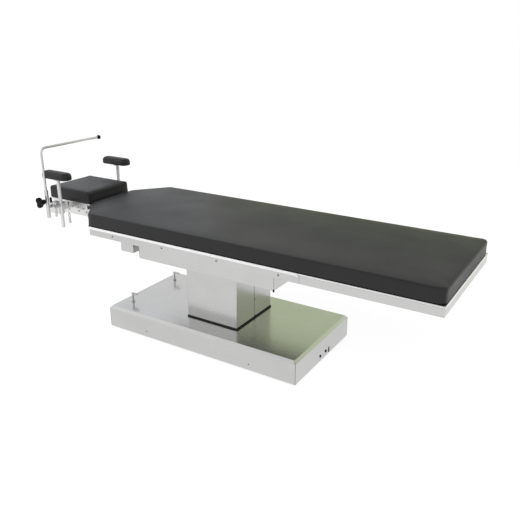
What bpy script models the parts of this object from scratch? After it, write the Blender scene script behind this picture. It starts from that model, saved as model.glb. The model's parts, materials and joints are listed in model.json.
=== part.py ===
"""Ophthalmic operating table: stainless base with column lift, tilting padded top and a sliding head section.

Metres, +Z up, +X towards the foot end, the photographed side is -Y. The origin is the floor under the base centre.
"""

import math

import bmesh
import bpy
from mathutils import Matrix, Vector

for leftover in list(bpy.data.objects):
    bpy.data.objects.remove(leftover, do_unlink=True)

# Clearances
FIT_GAP = 0.0003  # between pieces that are fixed against each other
RUN_GAP = 0.0005  # round pieces that slide or turn, measured on the radius
SEAM_GAP = 0.0016  # visible joint between the two column cover halves
OVERLAP = 0.0005  # how far shapes that are joined into one piece reach into each other

# Base
FLOOR_CLEARANCE = 0.012
BASE_LENGTH = 0.940
BASE_WIDTH = 0.468
BASE_SIDE_HEIGHT = 0.087
BASE_CHAMFER = 0.0105
BASE_CORNER_RADIUS = 0.004
BASE_SHEET = 0.002
CHASSIS_THICKNESS = 0.010
CHASSIS_MARGIN = 0.006
CHASSIS_LIP = 0.012
CHASSIS_LIP_WALL = 0.004
SOCKET_SPACING = 0.049
SOCKET_HEIGHT = 0.022
SOCKET_RADIUS = 0.0065
SOCKET_FLANGE_RADIUS = 0.0085
SOCKET_FLANGE = 0.0025
SOCKET_DEPTH = 0.018
NOTCH_Y = 0.053
NOTCH_WIDTH = 0.012
NOTCH_HEIGHT = 0.030
CONTROL_BOX_LENGTH = 0.140
CONTROL_BOX_WIDTH = 0.160
CONTROL_BOX_HEIGHT = 0.052
CONTROL_BOX_X = 0.240

# Castors
CASTOR_FOOT_INSET = 0.080
CASTOR_HEAD_INSET = 0.160
CASTOR_SIDE_INSET = 0.074
WHEEL_RADIUS = 0.0375
WHEEL_WIDTH = 0.026
WHEEL_SIDES = 24
WHEEL_EDGE = 0.003
CASTOR_TRAIL = 0.022
CASTOR_PLATE_RADIUS = 0.027
CASTOR_PLATE = 0.005
FORK_LEG = 0.0035
FORK_SIDE_GAP = 0.0015
FORK_EYE_RADIUS = 0.011
AXLE_RADIUS = 0.005

# Floor-lock pedals
PEDAL_INSET = 0.060
PEDAL_SIDE_INSET = 0.088
PEDAL_ROD_RADIUS = 0.0035
PEDAL_RISE = 0.038
TREAD_LENGTH = 0.036
TREAD_WIDTH = 0.013
TREAD_CORNER = 0.003
TREAD_THICKNESS = 0.004
PEDAL_FOOT_RADIUS = 0.018
PEDAL_FOOT_HEIGHT = 0.010
BUSH_RADIUS = 0.009
BUSH_HEIGHT = 0.005

# Column
COLUMN_X = 0.018
COLUMN_LENGTH = 0.250
COLUMN_WIDTH = 0.268
COLUMN_SHEET = 0.002
COLUMN_CORNER_RADIUS = 0.004
GASKET_HEIGHT = 0.0045
GASKET_WIDTH = 0.004
GUIDE_SIZE = 0.180
GUIDE_WALL = 0.006
GUIDE_TOP_DROP = 0.004
INNER_COLUMN_WALL = 0.006
INNER_COLUMN_LIFT_OFF = 0.018
LIFT_FOOT_RADIUS = 0.038
LIFT_FOOT = 0.008
LIFT_BODY_RADIUS = 0.030
LIFT_BODY_HEIGHT = 0.075
LIFT_TUBE_RADIUS = 0.022
LIFT_TUBE_DROP = 0.012
LIFT_ROD_RADIUS = 0.0125
LIFT_ROD_START = 0.030

# Table top frame
TABLE_WIDTH = 0.550
FRAME_HEAD_X = -0.502
FRAME_FOOT_X = 0.993
FRAME_BOTTOM = 0.445
BEAM_HEIGHT = 0.0337
BEAM_WIDTH = 0.030
END_BEAM_WIDTH = 0.040
BEAM_CHAMFER = 0.004
PANEL_THICKNESS = 0.003
PANEL_INSET = 0.0012
RAIL_FOOT_X = 0.496
RAIL_THICKNESS = 0.010
RAIL_LIP_HEAD = 0.0006
RAIL_LIP_FOOT = 0.0066
CROSS_BEAM_X = -0.2965
CROSS_BEAM_LENGTH = 0.066
CROSS_BEAM_HEIGHT = 0.037
BAR_PAD_INSET = 0.004
SKIRT_INSET = 0.003
HOUSING_HEAD_X = -0.2326
HOUSING_FOOT_X = 0.396
HOUSING_DEPTH = 0.051
HOUSING_SHEET = 0.002
HOUSING_OVERLAP = 0.008

# Tilt mechanism
YOKE_CLEARANCE = 0.010
YOKE_PLATE = 0.008
YOKE_LUG_INNER = 0.056
YOKE_LUG = 0.012
YOKE_LUG_RADIUS = 0.017
YOKE_LUG_FOOT = 0.060
TILT_PIN_RADIUS = 0.008
TILT_TOP_CLEARANCE = 0.004
CRADLE_SIDE_GAP = 0.004
CRADLE_PLATE = 0.008
CRADLE_TOP_DROP = 0.002
CRADLE_BEAM_LENGTH = 0.040
CRADLE_BEAM_X = 0.320
TILT_ARM_REACH = 0.060
TILT_ARM_WIDTH = 0.012
TILT_ARM_RADIUS = 0.012
TILT_EYE_RADIUS = 0.005
TILT_EYE_CLEARANCE = 0.0014
TILT_EYE_SHIFT_X = 0.0006
TILT_EYE_SHIFT_Z = -0.0004
TILT_SLOT_WIDTH = 0.036
TILT_FORK_BLOCK = 0.012
TILT_FORK_EAR = 0.005
TILT_FORK_RADIUS = 0.010
TILT_ROD_RADIUS = 0.006
TILT_TUBE_RADIUS = 0.012
TILT_TUBE_LENGTH = 0.090
TILT_ROD_END_GAP = 0.012
TILT_GEAR_RADIUS = 0.016
TILT_GEAR_LENGTH = 0.030
TILT_MOTOR_RADIUS = 0.014
TILT_MOTOR_LENGTH = 0.068
TILT_MOTOR_OFFSET = 0.031
TILT_LUG_WIDTH = 0.033
TILT_EAR = 0.008
TILT_EAR_RADIUS = 0.010
TILT_ROOT_X = 0.315

# Mattress
MATTRESS_THICKNESS = 0.0567
MATTRESS_HEAD_X = -0.631
MATTRESS_TAPER_X = -0.510
MATTRESS_HEAD_WIDTH = 0.248
MATTRESS_CORNER_RADIUS = 0.016
MATTRESS_CROWN = 0.002
MATTRESS_EDGE = 0.010
MATTRESS_CROWN_DEPTH = 0.190
CUSHION_FOOT = 0.003
CUSHION_SWELL = 0.0015
CROWN_RINGS = 4

# Head section
BAR_Y = 0.080
BAR_THICKNESS = 0.010
BAR_HEIGHT = 0.0237
BAR_LIFT = 0.006
BAR_HEAD_X = -0.875
BAR_SEAT = 0.045
CARRIAGE_HEAD_X = -0.880
CARRIAGE_FOOT_X = -0.680
CARRIAGE_WALL = 0.006
CARRIAGE_LIP = 0.0155
HINGE_X = -0.700
HINGE_ROOT = 0.014
HINGE_RADIUS = 0.009
HINGE_PIN_RADIUS = 0.004
HINGE_CLEARANCE = 0.004
HINGE_LUG_INNER = 0.040
HINGE_LUG = 0.010
HEAD_PLATE_THICKNESS = 0.005
HEAD_PLATE_INSET = 0.005
HEAD_FLANGE = 0.0025
HEAD_FLANGE_DROP = 0.028
HEAD_FLANGE_NOTCH = 0.004
HEAD_CUSHION_HEAD_X = -0.909
HEAD_CUSHION_FOOT_X = -0.650
HEAD_CUSHION_WIDTH = 0.260
HEAD_CUSHION_THICKNESS = 0.057
HEAD_CUSHION_CORNER = 0.014
HEAD_CUSHION_CROWN = 0.002
HEAD_CUSHION_EDGE = 0.009
HEAD_CUSHION_CROWN_DEPTH = 0.095
LOCK_SCREW_X = -0.847
LOCK_SCREW_RADIUS = 0.004
LOCK_SCREW_DROP = 0.018
LOCK_HUB_RADIUS = 0.009
LOCK_HUB_WIDTH = 0.010
LOCK_GRIP_RADIUS = 0.0065
LOCK_GRIP_LENGTH = 0.034

# Accessory bar, posts, wrist rests and screen rod
POST_X = -0.770
POST_Y = 0.185
POST_RADIUS = 0.008
POST_BOTTOM = 0.409
POST_FLANGE_RADIUS = 0.020
POST_FLANGE = 0.004
ACCESSORY_BAR_OFFSET = 0.033
ACCESSORY_BAR_WIDTH = 0.025
ACCESSORY_BAR_HEIGHT = 0.0316
CLAMP_WALL = 0.009
CLAMP_NOSE = 0.006
CLAMP_MARGIN = 0.018
CLAMP_CORNER = 0.004
CLAMP_RISE = 0.010
CLAMP_FLOOR = 0.0055
SHELF_HALF = 0.014
SHELF_REACH = 0.029
SHELF_THICKNESS = 0.008
SHELF_CORNER = 0.003
LINK_HALF = 0.012
LINK_THICKNESS = 0.005
CLAMP_BOLT_OFFSET = 0.0315
CLAMP_BOLT_RADIUS = 0.0055
CLAMP_BOLT_BOTTOM = 0.468
CLAMP_CAP_RADIUS = 0.0105
CLAMP_CAP_SIDE = 0.008
CLAMP_CAP_DOME = 0.007
LEVER_RISE = 0.007
LEVER_LENGTH = 0.030
LEVER_RADIUS = 0.006
LEVER_TIP_RADIUS = 0.005
LEVER_THICKNESS = 0.008
LEVER_STUB = 0.0035
REST_BOTTOM = 0.634
REST_LENGTH = 0.158
REST_SHIFT = -0.005
REST_WIDTH = 0.056
REST_HEIGHT = 0.034
REST_CORNER_RADIUS = 0.024
REST_EDGE = 0.016
REST_FOOT = 0.0015
REST_CROWN = 0.005
REST_CROWN_DEPTH = 0.025
ROD_Y = -0.257
ROD_RADIUS = 0.005
ROD_BOTTOM = 0.476
ROD_TOP = 0.781
ROD_BEND = 0.026
ROD_TIP_Y = 0.0765
BALL_RADIUS = 0.0095
BALL_SEAT = 0.006
HOLDER_TUBE_RADIUS = 0.0085
HOLDER_BOTTOM = 0.474
HOLDER_TOP = 0.597
KNOB_Z = 0.550
KNOB_SHANK_RADIUS = 0.004
KNOB_BOSS_RADIUS = 0.010
KNOB_BOSS_LENGTH = 0.016
KNOB_RADIUS = 0.025
KNOB_WAIST = 0.013
KNOB_LOBES = 3
KNOB_TURN = math.radians(12)
KNOB_THICKNESS = 0.024

# Facets of round pieces
ROUND_SIDES = 24
SMALL_SIDES = 16
SHADE_ANGLE = math.radians(35)

# Levels that follow from the sizes above
base_side_top = FLOOR_CLEARANCE + BASE_SIDE_HEIGHT
base_top = base_side_top + BASE_CHAMFER
base_inside_top = base_top - BASE_SHEET
chassis_top = base_inside_top - FIT_GAP
chassis_bottom = chassis_top - CHASSIS_THICKNESS
beam_top = FRAME_BOTTOM + BEAM_HEIGHT
panel_bottom = beam_top + FIT_GAP
panel_top = panel_bottom + PANEL_THICKNESS
mattress_bottom = panel_top + FIT_GAP
housing_bottom = FRAME_BOTTOM - HOUSING_DEPTH
column_bottom = base_top + FIT_GAP
column_top = housing_bottom + HOUSING_OVERLAP
guide_bottom = chassis_top + FIT_GAP
guide_top = column_top - COLUMN_SHEET - GUIDE_TOP_DROP
yoke_bottom = column_top + YOKE_CLEARANCE
yoke_top = yoke_bottom + YOKE_PLATE
tilt_z = panel_bottom - YOKE_LUG_RADIUS - TILT_TOP_CLEARANCE
tilt_rod_z = yoke_bottom + TILT_ARM_RADIUS
tilt_eye_x = COLUMN_X + TILT_ARM_REACH
cradle_bottom = FRAME_BOTTOM + FIT_GAP
bar_bottom = cradle_bottom + BAR_LIFT
bar_top = bar_bottom + BAR_HEIGHT
carriage_top = bar_top + RUN_GAP + CARRIAGE_WALL
carriage_bottom = bar_bottom - RUN_GAP - CARRIAGE_WALL
hinge_z = carriage_top + HINGE_RADIUS + HINGE_CLEARANCE
accessory_bottom = carriage_top + FIT_GAP
accessory_top = accessory_bottom + ACCESSORY_BAR_HEIGHT
head_plate_bottom = accessory_top + FIT_GAP
head_plate_top = head_plate_bottom + HEAD_PLATE_THICKNESS
head_cushion_bottom = head_plate_top + FIT_GAP

# Positions across and along that follow from the sizes above
table_side = TABLE_WIDTH / 2
inner_column_size = GUIDE_SIZE - 2 * GUIDE_WALL - 2 * RUN_GAP
cradle_inner = YOKE_LUG_INNER + YOKE_LUG + CRADLE_SIDE_GAP
cradle_outer = cradle_inner + CRADLE_PLATE
beam_inner = table_side - PANEL_INSET - BEAM_WIDTH
tilt_gear_foot = CRADLE_BEAM_X - CRADLE_BEAM_LENGTH / 2 - RUN_GAP
tilt_gear_head = tilt_gear_foot - TILT_GEAR_LENGTH
bar_foot_x = CROSS_BEAM_X - CROSS_BEAM_LENGTH / 2 + BAR_SEAT
accessory_x = POST_X - ACCESSORY_BAR_OFFSET
accessory_half = ACCESSORY_BAR_WIDTH / 2
clamp_head_x = accessory_x - accessory_half - CLAMP_WALL
clamp_bottom = accessory_bottom - CLAMP_FLOOR
clamp_top = accessory_top + CLAMP_RISE
clamp_inner_y = POST_Y - CLAMP_MARGIN
clamp_outer_y = POST_Y + CLAMP_MARGIN
link_bottom = clamp_top - LINK_THICKNESS
shelf_top = link_bottom - FIT_GAP

# Surfaces: colour, roughness, metallic
SURFACES = {
    "mirror_steel": ((0.66, 0.66, 0.64), 0.16, 1.0),
    "brushed_steel": ((0.56, 0.56, 0.55), 0.34, 1.0),
    "chrome": ((0.78, 0.78, 0.78), 0.10, 1.0),
    "zinc_steel": ((0.42, 0.43, 0.44), 0.45, 1.0),
    "painted_steel": ((0.30, 0.31, 0.32), 0.50, 0.0),
    "black_leatherette": ((0.018, 0.018, 0.020), 0.42, 0.0),
    "black_rubber": ((0.015, 0.015, 0.015), 0.75, 0.0),
    "black_plastic": ((0.014, 0.014, 0.015), 0.35, 0.0),
    "grey_plastic": ((0.22, 0.22, 0.23), 0.55, 0.0),
}


def make_surface(name):
    """One Principled material for each kind of surface."""
    colour, roughness, metallic = SURFACES[name]
    surface = bpy.data.materials.new(name)
    surface.use_nodes = True
    shader = surface.node_tree.nodes["Principled BSDF"]
    shader.inputs["Base Color"].default_value = (*colour, 1.0)
    shader.inputs["Roughness"].default_value = roughness
    shader.inputs["Metallic"].default_value = metallic
    surface.diffuse_color = (*colour, 1.0)
    return surface


surfaces = {name: make_surface(name) for name in SURFACES}
pivots = {}


# Shapes
def solid_from(bm):
    """A mesh object of this geometry, with its faces turned outwards."""
    bmesh.ops.recalc_face_normals(bm, faces=bm.faces)
    mesh = bpy.data.meshes.new("shape")
    bm.to_mesh(mesh)
    bm.free()
    shape = bpy.data.objects.new("shape", mesh)
    bpy.context.scene.collection.objects.link(shape)
    return shape


def loft(rings):
    """A closed body through rings of equally many points, with a flat face on the first and the last."""
    bm = bmesh.new()
    rows = []
    for ring in rings:
        rows.append([bm.verts.new(point) for point in ring])
    for lower, upper in zip(rows, rows[1:]):
        for index in range(len(lower)):
            after = (index + 1) % len(lower)
            bm.faces.new((lower[index], lower[after], upper[after], upper[index]))
    bm.faces.new(rows[0])
    bm.faces.new(rows[-1])
    return solid_from(bm)


def in_space(point, plane, along):
    """A point of a drawing plane put into space: the plane XY, XZ or YZ, and the distance along its normal."""
    first, second = point
    if plane == "XY":
        return (first, second, along)
    if plane == "XZ":
        return (first, along, second)
    return (along, first, second)


def prism(outline, plane, low, high):
    """The outline pushed along the normal of its plane, from low to high."""
    return loft([[in_space(point, plane, along) for point in outline] for along in (low, high)])


def box(low, high):
    outline = [(low[0], low[1]), (high[0], low[1]), (high[0], high[1]), (low[0], high[1])]
    return prism(outline, "XY", low[2], high[2])


def circle(centre, radius, sides, turn=0.0):
    points = []
    for index in range(sides):
        angle = turn + 2 * math.pi * index / sides
        points.append((centre[0] + radius * math.cos(angle), centre[1] + radius * math.sin(angle)))
    return points


def rod(plane, centre, radius, low, high, sides=ROUND_SIDES):
    """A round rod along the normal of the plane."""
    return prism(circle(centre, radius, sides), plane, low, high)


def revolved(profile, centre, sides=ROUND_SIDES):
    """A body turned about a vertical axis, from (radius, height) points; the ends are flat."""
    rings = []
    for radius, height in profile:
        rings.append([in_space(point, "XY", height) for point in circle(centre, radius, sides)])
    return loft(rings)


def hull(points):
    """The outline round these points, taken counterclockwise."""
    ordered = sorted(set(points))

    def half(sequence):
        chain = []
        for point in sequence:
            while len(chain) > 1 and turns_right(chain[-2], chain[-1], point):
                chain.pop()
            chain.append(point)
        return chain[:-1]

    return half(ordered) + half(ordered[::-1])


def turns_right(first, second, third):
    ahead = (second[0] - first[0]) * (third[1] - first[1])
    aside = (second[1] - first[1]) * (third[0] - first[0])
    return ahead - aside <= 1e-12


def rounded(corners, radius, inset=0.0, steps=3, least=0.001):
    """A convex outline drawn in by inset, each corner rounded; every inset gives equally many points."""
    count = len(corners)
    moved = []
    for index in range(count):
        here = Vector(corners[index])
        before = (here - Vector(corners[index - 1])).normalized()
        after = (Vector(corners[(index + 1) % count]) - here).normalized()
        inward = Vector((-before.y, before.x)) + Vector((-after.y, after.x))
        share = inset / (1 + before.dot(after))
        moved.append((here + inward * share, before, after))
    turn_radius = max(radius - inset, least)
    points = []
    for here, before, after in moved:
        turn = math.acos(max(-1.0, min(1.0, before.dot(after))))
        start = here - before * (turn_radius * math.tan(turn / 2))
        middle = start + Vector((-before.y, before.x)) * turn_radius
        spoke = start - middle
        for step in range(steps + 1):
            angle = turn * step / steps
            turned = Matrix.Rotation(angle, 2) @ spoke
            points.append(tuple(middle + turned))
    return points


def rectangle(x_low, x_high, y_low, y_high):
    return [(x_low, y_low), (x_high, y_low), (x_high, y_high), (x_low, y_high)]


def combined(base, tools, operation):
    """The base with the tools joined on or cut away; the tools are used up."""
    for tool in tools:
        step = base.modifiers.new("combine", "BOOLEAN")
        step.operation = operation
        step.solver = "EXACT"
        step.object = tool
    graph = bpy.context.evaluated_depsgraph_get()
    result = bpy.data.meshes.new_from_object(base.evaluated_get(graph))
    base.modifiers.clear()
    base.data = result
    for tool in tools:
        bpy.data.objects.remove(tool, do_unlink=True)
    return base


def joined(base, *tools):
    return combined(base, tools, "UNION")


def cut(base, *tools):
    return combined(base, tools, "DIFFERENCE")


def mirrored(base):
    """A copy on the other side of the table's centre plane."""
    bm = bmesh.new()
    bm.from_mesh(base.data)
    bmesh.ops.scale(bm, vec=(1, -1, 1), verts=bm.verts)
    return solid_from(bm)


def far_side(base):
    """The piece itself, taken over to the far side."""
    copy = mirrored(base)
    bpy.data.objects.remove(base, do_unlink=True)
    return copy


def moved_copy(base, shift):
    bm = bmesh.new()
    bm.from_mesh(base.data)
    bmesh.ops.translate(bm, vec=shift, verts=bm.verts)
    return solid_from(bm)


def cushion(corners, corner_radius, bottom, top, crown, edge, foot, crown_depth):
    """A padded body: tight lower edge, sides that swell a little, rounded upper edge and a crowned top."""
    shoulder = top - crown
    levels = [(CUSHION_SWELL + foot, bottom), (CUSHION_SWELL, bottom + foot)]
    levels.append((0.0, bottom + 0.5 * (shoulder - bottom)))
    for angle in (0.0, 30.0, 60.0):
        across = edge * (1 - math.cos(math.radians(angle)))
        up = edge * math.sin(math.radians(angle))
        levels.append((CUSHION_SWELL + across, shoulder - edge + up))
    crown_start = CUSHION_SWELL + edge
    for ring in range(CROWN_RINGS + 1):
        inset = crown_start + (crown_depth - crown_start) * (ring / CROWN_RINGS) ** 1.5
        levels.append((inset, shoulder + crown * (1 - (1 - inset / crown_depth) ** 2)))
    rings = []
    for inset, height in levels:
        outline = rounded(corners, corner_radius, inset, steps=5)
        rings.append([in_space(point, "XY", height) for point in outline])
    return loft(rings)


# Placing
def joint_empty(name, location, parent=None):
    """An empty on a joint's axis that carries the pieces which move together."""
    marker = bpy.data.objects.new(name, None)
    bpy.context.scene.collection.objects.link(marker)
    marker.empty_display_size = 0.05
    set_parent(marker, location, parent)
    return marker


def set_parent(item, location, parent):
    item.location = location
    pivots[item.name] = Vector(location)
    if parent is not None:
        item.parent = parent
        item.matrix_parent_inverse = Matrix.Translation(-pivots[parent.name])


def place(shape, name, surface, pivot=(0.0, 0.0, 0.0), parent=None, smooth=False):
    """Names a finished piece, gives it its surface, and puts its origin on the pivot."""
    shape.name = name
    shape.data.name = name
    shape.data.materials.clear()
    shape.data.materials.append(surfaces[surface])
    shape.data.transform(Matrix.Translation(-Vector(pivot)))
    set_parent(shape, pivot, parent)
    if smooth:
        shape.data.shade_smooth()
        shape.data.set_sharp_from_angle(angle=SHADE_ANGLE)
    return shape


def place_pair(near_shape, name, surface, pivot=(0.0, 0.0, 0.0), parent=None, smooth=False):
    """Places a piece drawn on the near side and its mirror image on the far side."""
    far_shape = mirrored(near_shape)
    near = place(near_shape, name + "_near", surface, pivot, parent, smooth)
    far_pivot = (pivot[0], -pivot[1], pivot[2])
    far = place(far_shape, name + "_far", surface, far_pivot, parent, smooth)
    return near, far


# Base
def base_ring(length, width, radius, height, inset):
    corners = rectangle(-length / 2, length / 2, -width / 2, width / 2)
    return [in_space(point, "XY", height) for point in rounded(corners, radius, inset)]


def base_cover():
    """Folded cover, open below, with openings for the column, the pedals, the sockets and the cable."""
    bend = BASE_SHEET * math.tan(math.radians(22.5))
    outer_levels = [(0.0, FLOOR_CLEARANCE), (0.0, base_side_top), (BASE_CHAMFER, base_top)]
    inner_levels = [
        (BASE_CHAMFER + bend, base_inside_top),
        (BASE_SHEET, base_side_top - bend),
        (BASE_SHEET, FLOOR_CLEARANCE - OVERLAP),
    ]
    outer_rings = []
    for inset, height in outer_levels:
        outer_rings.append(base_ring(BASE_LENGTH, BASE_WIDTH, BASE_CORNER_RADIUS, height, inset))
    inner_rings = []
    for inset, height in inner_levels:
        inner_rings.append(base_ring(BASE_LENGTH, BASE_WIDTH, BASE_CORNER_RADIUS, height, inset))
    cover = cut(loft(outer_rings), loft(inner_rings))
    bushes = []
    for side in (-1, 1):
        bush = circle((pedal_x, side * pedal_y), BUSH_RADIUS, 6)
        bushes.append(prism(bush, "XY", base_top - OVERLAP, base_top + BUSH_HEIGHT))
    cover = joined(cover, *bushes)
    opening = GUIDE_SIZE / 2 + RUN_GAP
    below = base_inside_top - OVERLAP
    above = base_top + BUSH_HEIGHT + OVERLAP
    cutters = [box((COLUMN_X - opening, -opening, below), (COLUMN_X + opening, opening, base_top + OVERLAP))]
    for side in (-1, 1):
        hole = (pedal_x, side * pedal_y)
        cutters.append(rod("XY", hole, PEDAL_ROD_RADIUS + RUN_GAP, below, above, SMALL_SIDES))
    inside_x = BASE_LENGTH / 2 - BASE_SHEET - OVERLAP
    outside_x = BASE_LENGTH / 2 + OVERLAP
    for side in (-1, 1):
        hole = (side * SOCKET_SPACING / 2, FLOOR_CLEARANCE + SOCKET_HEIGHT)
        cutters.append(rod("YZ", hole, SOCKET_RADIUS + FIT_GAP, inside_x, outside_x, SMALL_SIDES))
    notch = hull(
        circle((NOTCH_Y, FLOOR_CLEARANCE + NOTCH_HEIGHT - NOTCH_WIDTH / 2), NOTCH_WIDTH / 2, SMALL_SIDES)
        + [(NOTCH_Y - NOTCH_WIDTH / 2, 0.0), (NOTCH_Y + NOTCH_WIDTH / 2, 0.0)]
    )
    cutters.append(prism(notch, "YZ", inside_x, outside_x))
    return cut(cover, *cutters)


def base_chassis():
    """Pressed chassis plate with turned-down long edges; the pedal rods pass through it."""
    shrink = BASE_CHAMFER + BASE_SHEET + CHASSIS_MARGIN
    half_length = BASE_LENGTH / 2 - shrink
    half_width = BASE_WIDTH / 2 - shrink
    lip_bottom = chassis_bottom - CHASSIS_LIP
    lip_inner = half_width - CHASSIS_LIP_WALL
    profile = [
        (-half_width, lip_bottom),
        (-lip_inner, lip_bottom),
        (-lip_inner, chassis_bottom),
        (lip_inner, chassis_bottom),
        (lip_inner, lip_bottom),
        (half_width, lip_bottom),
        (half_width, chassis_top),
        (-half_width, chassis_top),
    ]
    plate = prism(profile, "YZ", -half_length, half_length)
    holes = []
    for side in (-1, 1):
        centre = (pedal_x, side * pedal_y)
        holes.append(
            rod("XY", centre, PEDAL_ROD_RADIUS + RUN_GAP, chassis_bottom - OVERLAP, chassis_top + OVERLAP, SMALL_SIDES)
        )
    return cut(plate, *holes)


def socket(side):
    """Capped round socket in the foot-end face of the base."""
    centre = (side * SOCKET_SPACING / 2, FLOOR_CLEARANCE + SOCKET_HEIGHT)
    face = BASE_LENGTH / 2 + FIT_GAP
    body = rod("YZ", centre, SOCKET_RADIUS, BASE_LENGTH / 2 - SOCKET_DEPTH, face + OVERLAP, SMALL_SIDES)
    flange = rod("YZ", centre, SOCKET_FLANGE_RADIUS, face, face + SOCKET_FLANGE, SMALL_SIDES)
    return joined(flange, body)


def castor_fork():
    """Swivel plate, two legs drawn back to the axle, and the axle."""
    plate_top = chassis_bottom - FIT_GAP
    plate_bottom = plate_top - CASTOR_PLATE
    fork = rod("XY", (0.0, 0.0), CASTOR_PLATE_RADIUS, plate_bottom, plate_top)
    eye = circle((-CASTOR_TRAIL, WHEEL_RADIUS), FORK_EYE_RADIUS, SMALL_SIDES)
    root = CASTOR_PLATE_RADIUS * 0.6
    leg = hull(eye + [(-root, plate_bottom + OVERLAP), (root, plate_bottom + OVERLAP)])
    inner = WHEEL_WIDTH / 2 + FORK_SIDE_GAP
    outer = inner + FORK_LEG
    legs = [prism(leg, "XZ", inner, outer), prism(leg, "XZ", -outer, -inner)]
    axle = rod("XZ", (-CASTOR_TRAIL, WHEEL_RADIUS), AXLE_RADIUS, -inner - OVERLAP, inner + OVERLAP, SMALL_SIDES)
    return joined(fork, *legs, axle)


def castor_wheel():
    """Tyre with turned edges and a bore for the axle; one facet stands flat on the floor."""
    half = WHEEL_WIDTH / 2
    turn = math.pi / WHEEL_SIDES
    corner = WHEEL_RADIUS / math.cos(turn)
    narrow = corner - WHEEL_EDGE
    centre = (-CASTOR_TRAIL, WHEEL_RADIUS)
    rings = []
    for radius, across in ((narrow, -half), (corner, WHEEL_EDGE - half), (corner, half - WHEEL_EDGE), (narrow, half)):
        outline = circle(centre, radius, WHEEL_SIDES, turn - math.pi / 2)
        rings.append([in_space(point, "XZ", across) for point in outline])
    bore = rod("XZ", centre, AXLE_RADIUS + RUN_GAP, -half - OVERLAP, half + OVERLAP, SMALL_SIDES)
    return cut(loft(rings), bore)


def pedal():
    """Plunger with a foot below, and a tread that points to the column."""
    centre = (pedal_x, -pedal_y)
    tread_bottom = base_top + PEDAL_RISE
    tread_top = tread_bottom + TREAD_THICKNESS
    tread_end = pedal_x - TREAD_WIDTH / 2
    tread_corners = rectangle(
        tread_end, tread_end + TREAD_LENGTH, -pedal_y - TREAD_WIDTH / 2, -pedal_y + TREAD_WIDTH / 2
    )
    tread = prism(rounded(tread_corners, TREAD_CORNER), "XY", tread_bottom, tread_top)
    foot_top = FLOOR_CLEARANCE + PEDAL_FOOT_HEIGHT
    foot = rod("XY", centre, PEDAL_FOOT_RADIUS, FLOOR_CLEARANCE, foot_top)
    stem = rod("XY", centre, PEDAL_ROD_RADIUS, foot_top - OVERLAP, tread_bottom + OVERLAP, SMALL_SIDES)
    return joined(stem, tread, foot)


# Column
def column_half():
    """Near half of the column cover: a folded wall with a flange that closes in on the inner column."""
    head_x = COLUMN_X - COLUMN_LENGTH / 2
    foot_x = COLUMN_X + COLUMN_LENGTH / 2
    seam = -SEAM_GAP / 2
    outer = -COLUMN_WIDTH / 2
    corners = rectangle(head_x, foot_x, outer, outer + COLUMN_WIDTH)
    body = prism(rounded(corners, COLUMN_CORNER_RADIUS), "XY", column_bottom, column_top)
    hollow = rounded(corners, COLUMN_CORNER_RADIUS, COLUMN_SHEET)
    inside = prism(hollow, "XY", column_bottom - OVERLAP, column_top - COLUMN_SHEET)
    passage = inner_column_size / 2 + RUN_GAP
    hole = box(
        (COLUMN_X - passage, -passage, column_bottom), (COLUMN_X + passage, passage, column_top + OVERLAP)
    )
    other_half = box(
        (head_x - OVERLAP, seam, column_bottom - OVERLAP), (foot_x + OVERLAP, COLUMN_WIDTH, column_top + OVERLAP)
    )
    return cut(body, inside, hole, other_half)


def square_tube(size, wall, low, high):
    half = size / 2
    bore = half - wall
    body = box((COLUMN_X - half, -half, low), (COLUMN_X + half, half, high))
    hollow = box((COLUMN_X - bore, -bore, low - OVERLAP), (COLUMN_X + bore, bore, high + OVERLAP))
    return cut(body, hollow)


def column_gasket():
    """Rubber frame round the foot of the column."""
    corners = rectangle(
        COLUMN_X - COLUMN_LENGTH / 2, COLUMN_X + COLUMN_LENGTH / 2, -COLUMN_WIDTH / 2, COLUMN_WIDTH / 2
    )
    low = base_top + FIT_GAP
    high = low + GASKET_HEIGHT
    body = prism(rounded(corners, COLUMN_CORNER_RADIUS, -GASKET_WIDTH), "XY", low, high)
    hole = prism(rounded(corners, COLUMN_CORNER_RADIUS, -FIT_GAP), "XY", low - OVERLAP, high + OVERLAP)
    return cut(body, hole)


def lift_motor():
    """Foot, gear body and guide tube of the column actuator, bored for its rod."""
    foot_top = guide_bottom + LIFT_FOOT
    body_top = foot_top + LIFT_BODY_HEIGHT
    tube_top = guide_top - LIFT_TUBE_DROP
    profile = [
        (LIFT_FOOT_RADIUS, guide_bottom),
        (LIFT_FOOT_RADIUS, foot_top),
        (LIFT_BODY_RADIUS, foot_top),
        (LIFT_BODY_RADIUS, body_top),
        (LIFT_TUBE_RADIUS, body_top),
        (LIFT_TUBE_RADIUS, tube_top),
    ]
    body = revolved(profile, (COLUMN_X, 0.0))
    bore_start = guide_bottom + LIFT_ROD_START - RUN_GAP
    bore = rod("XY", (COLUMN_X, 0.0), LIFT_ROD_RADIUS + RUN_GAP, bore_start, tube_top + OVERLAP)
    return cut(body, bore)


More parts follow.
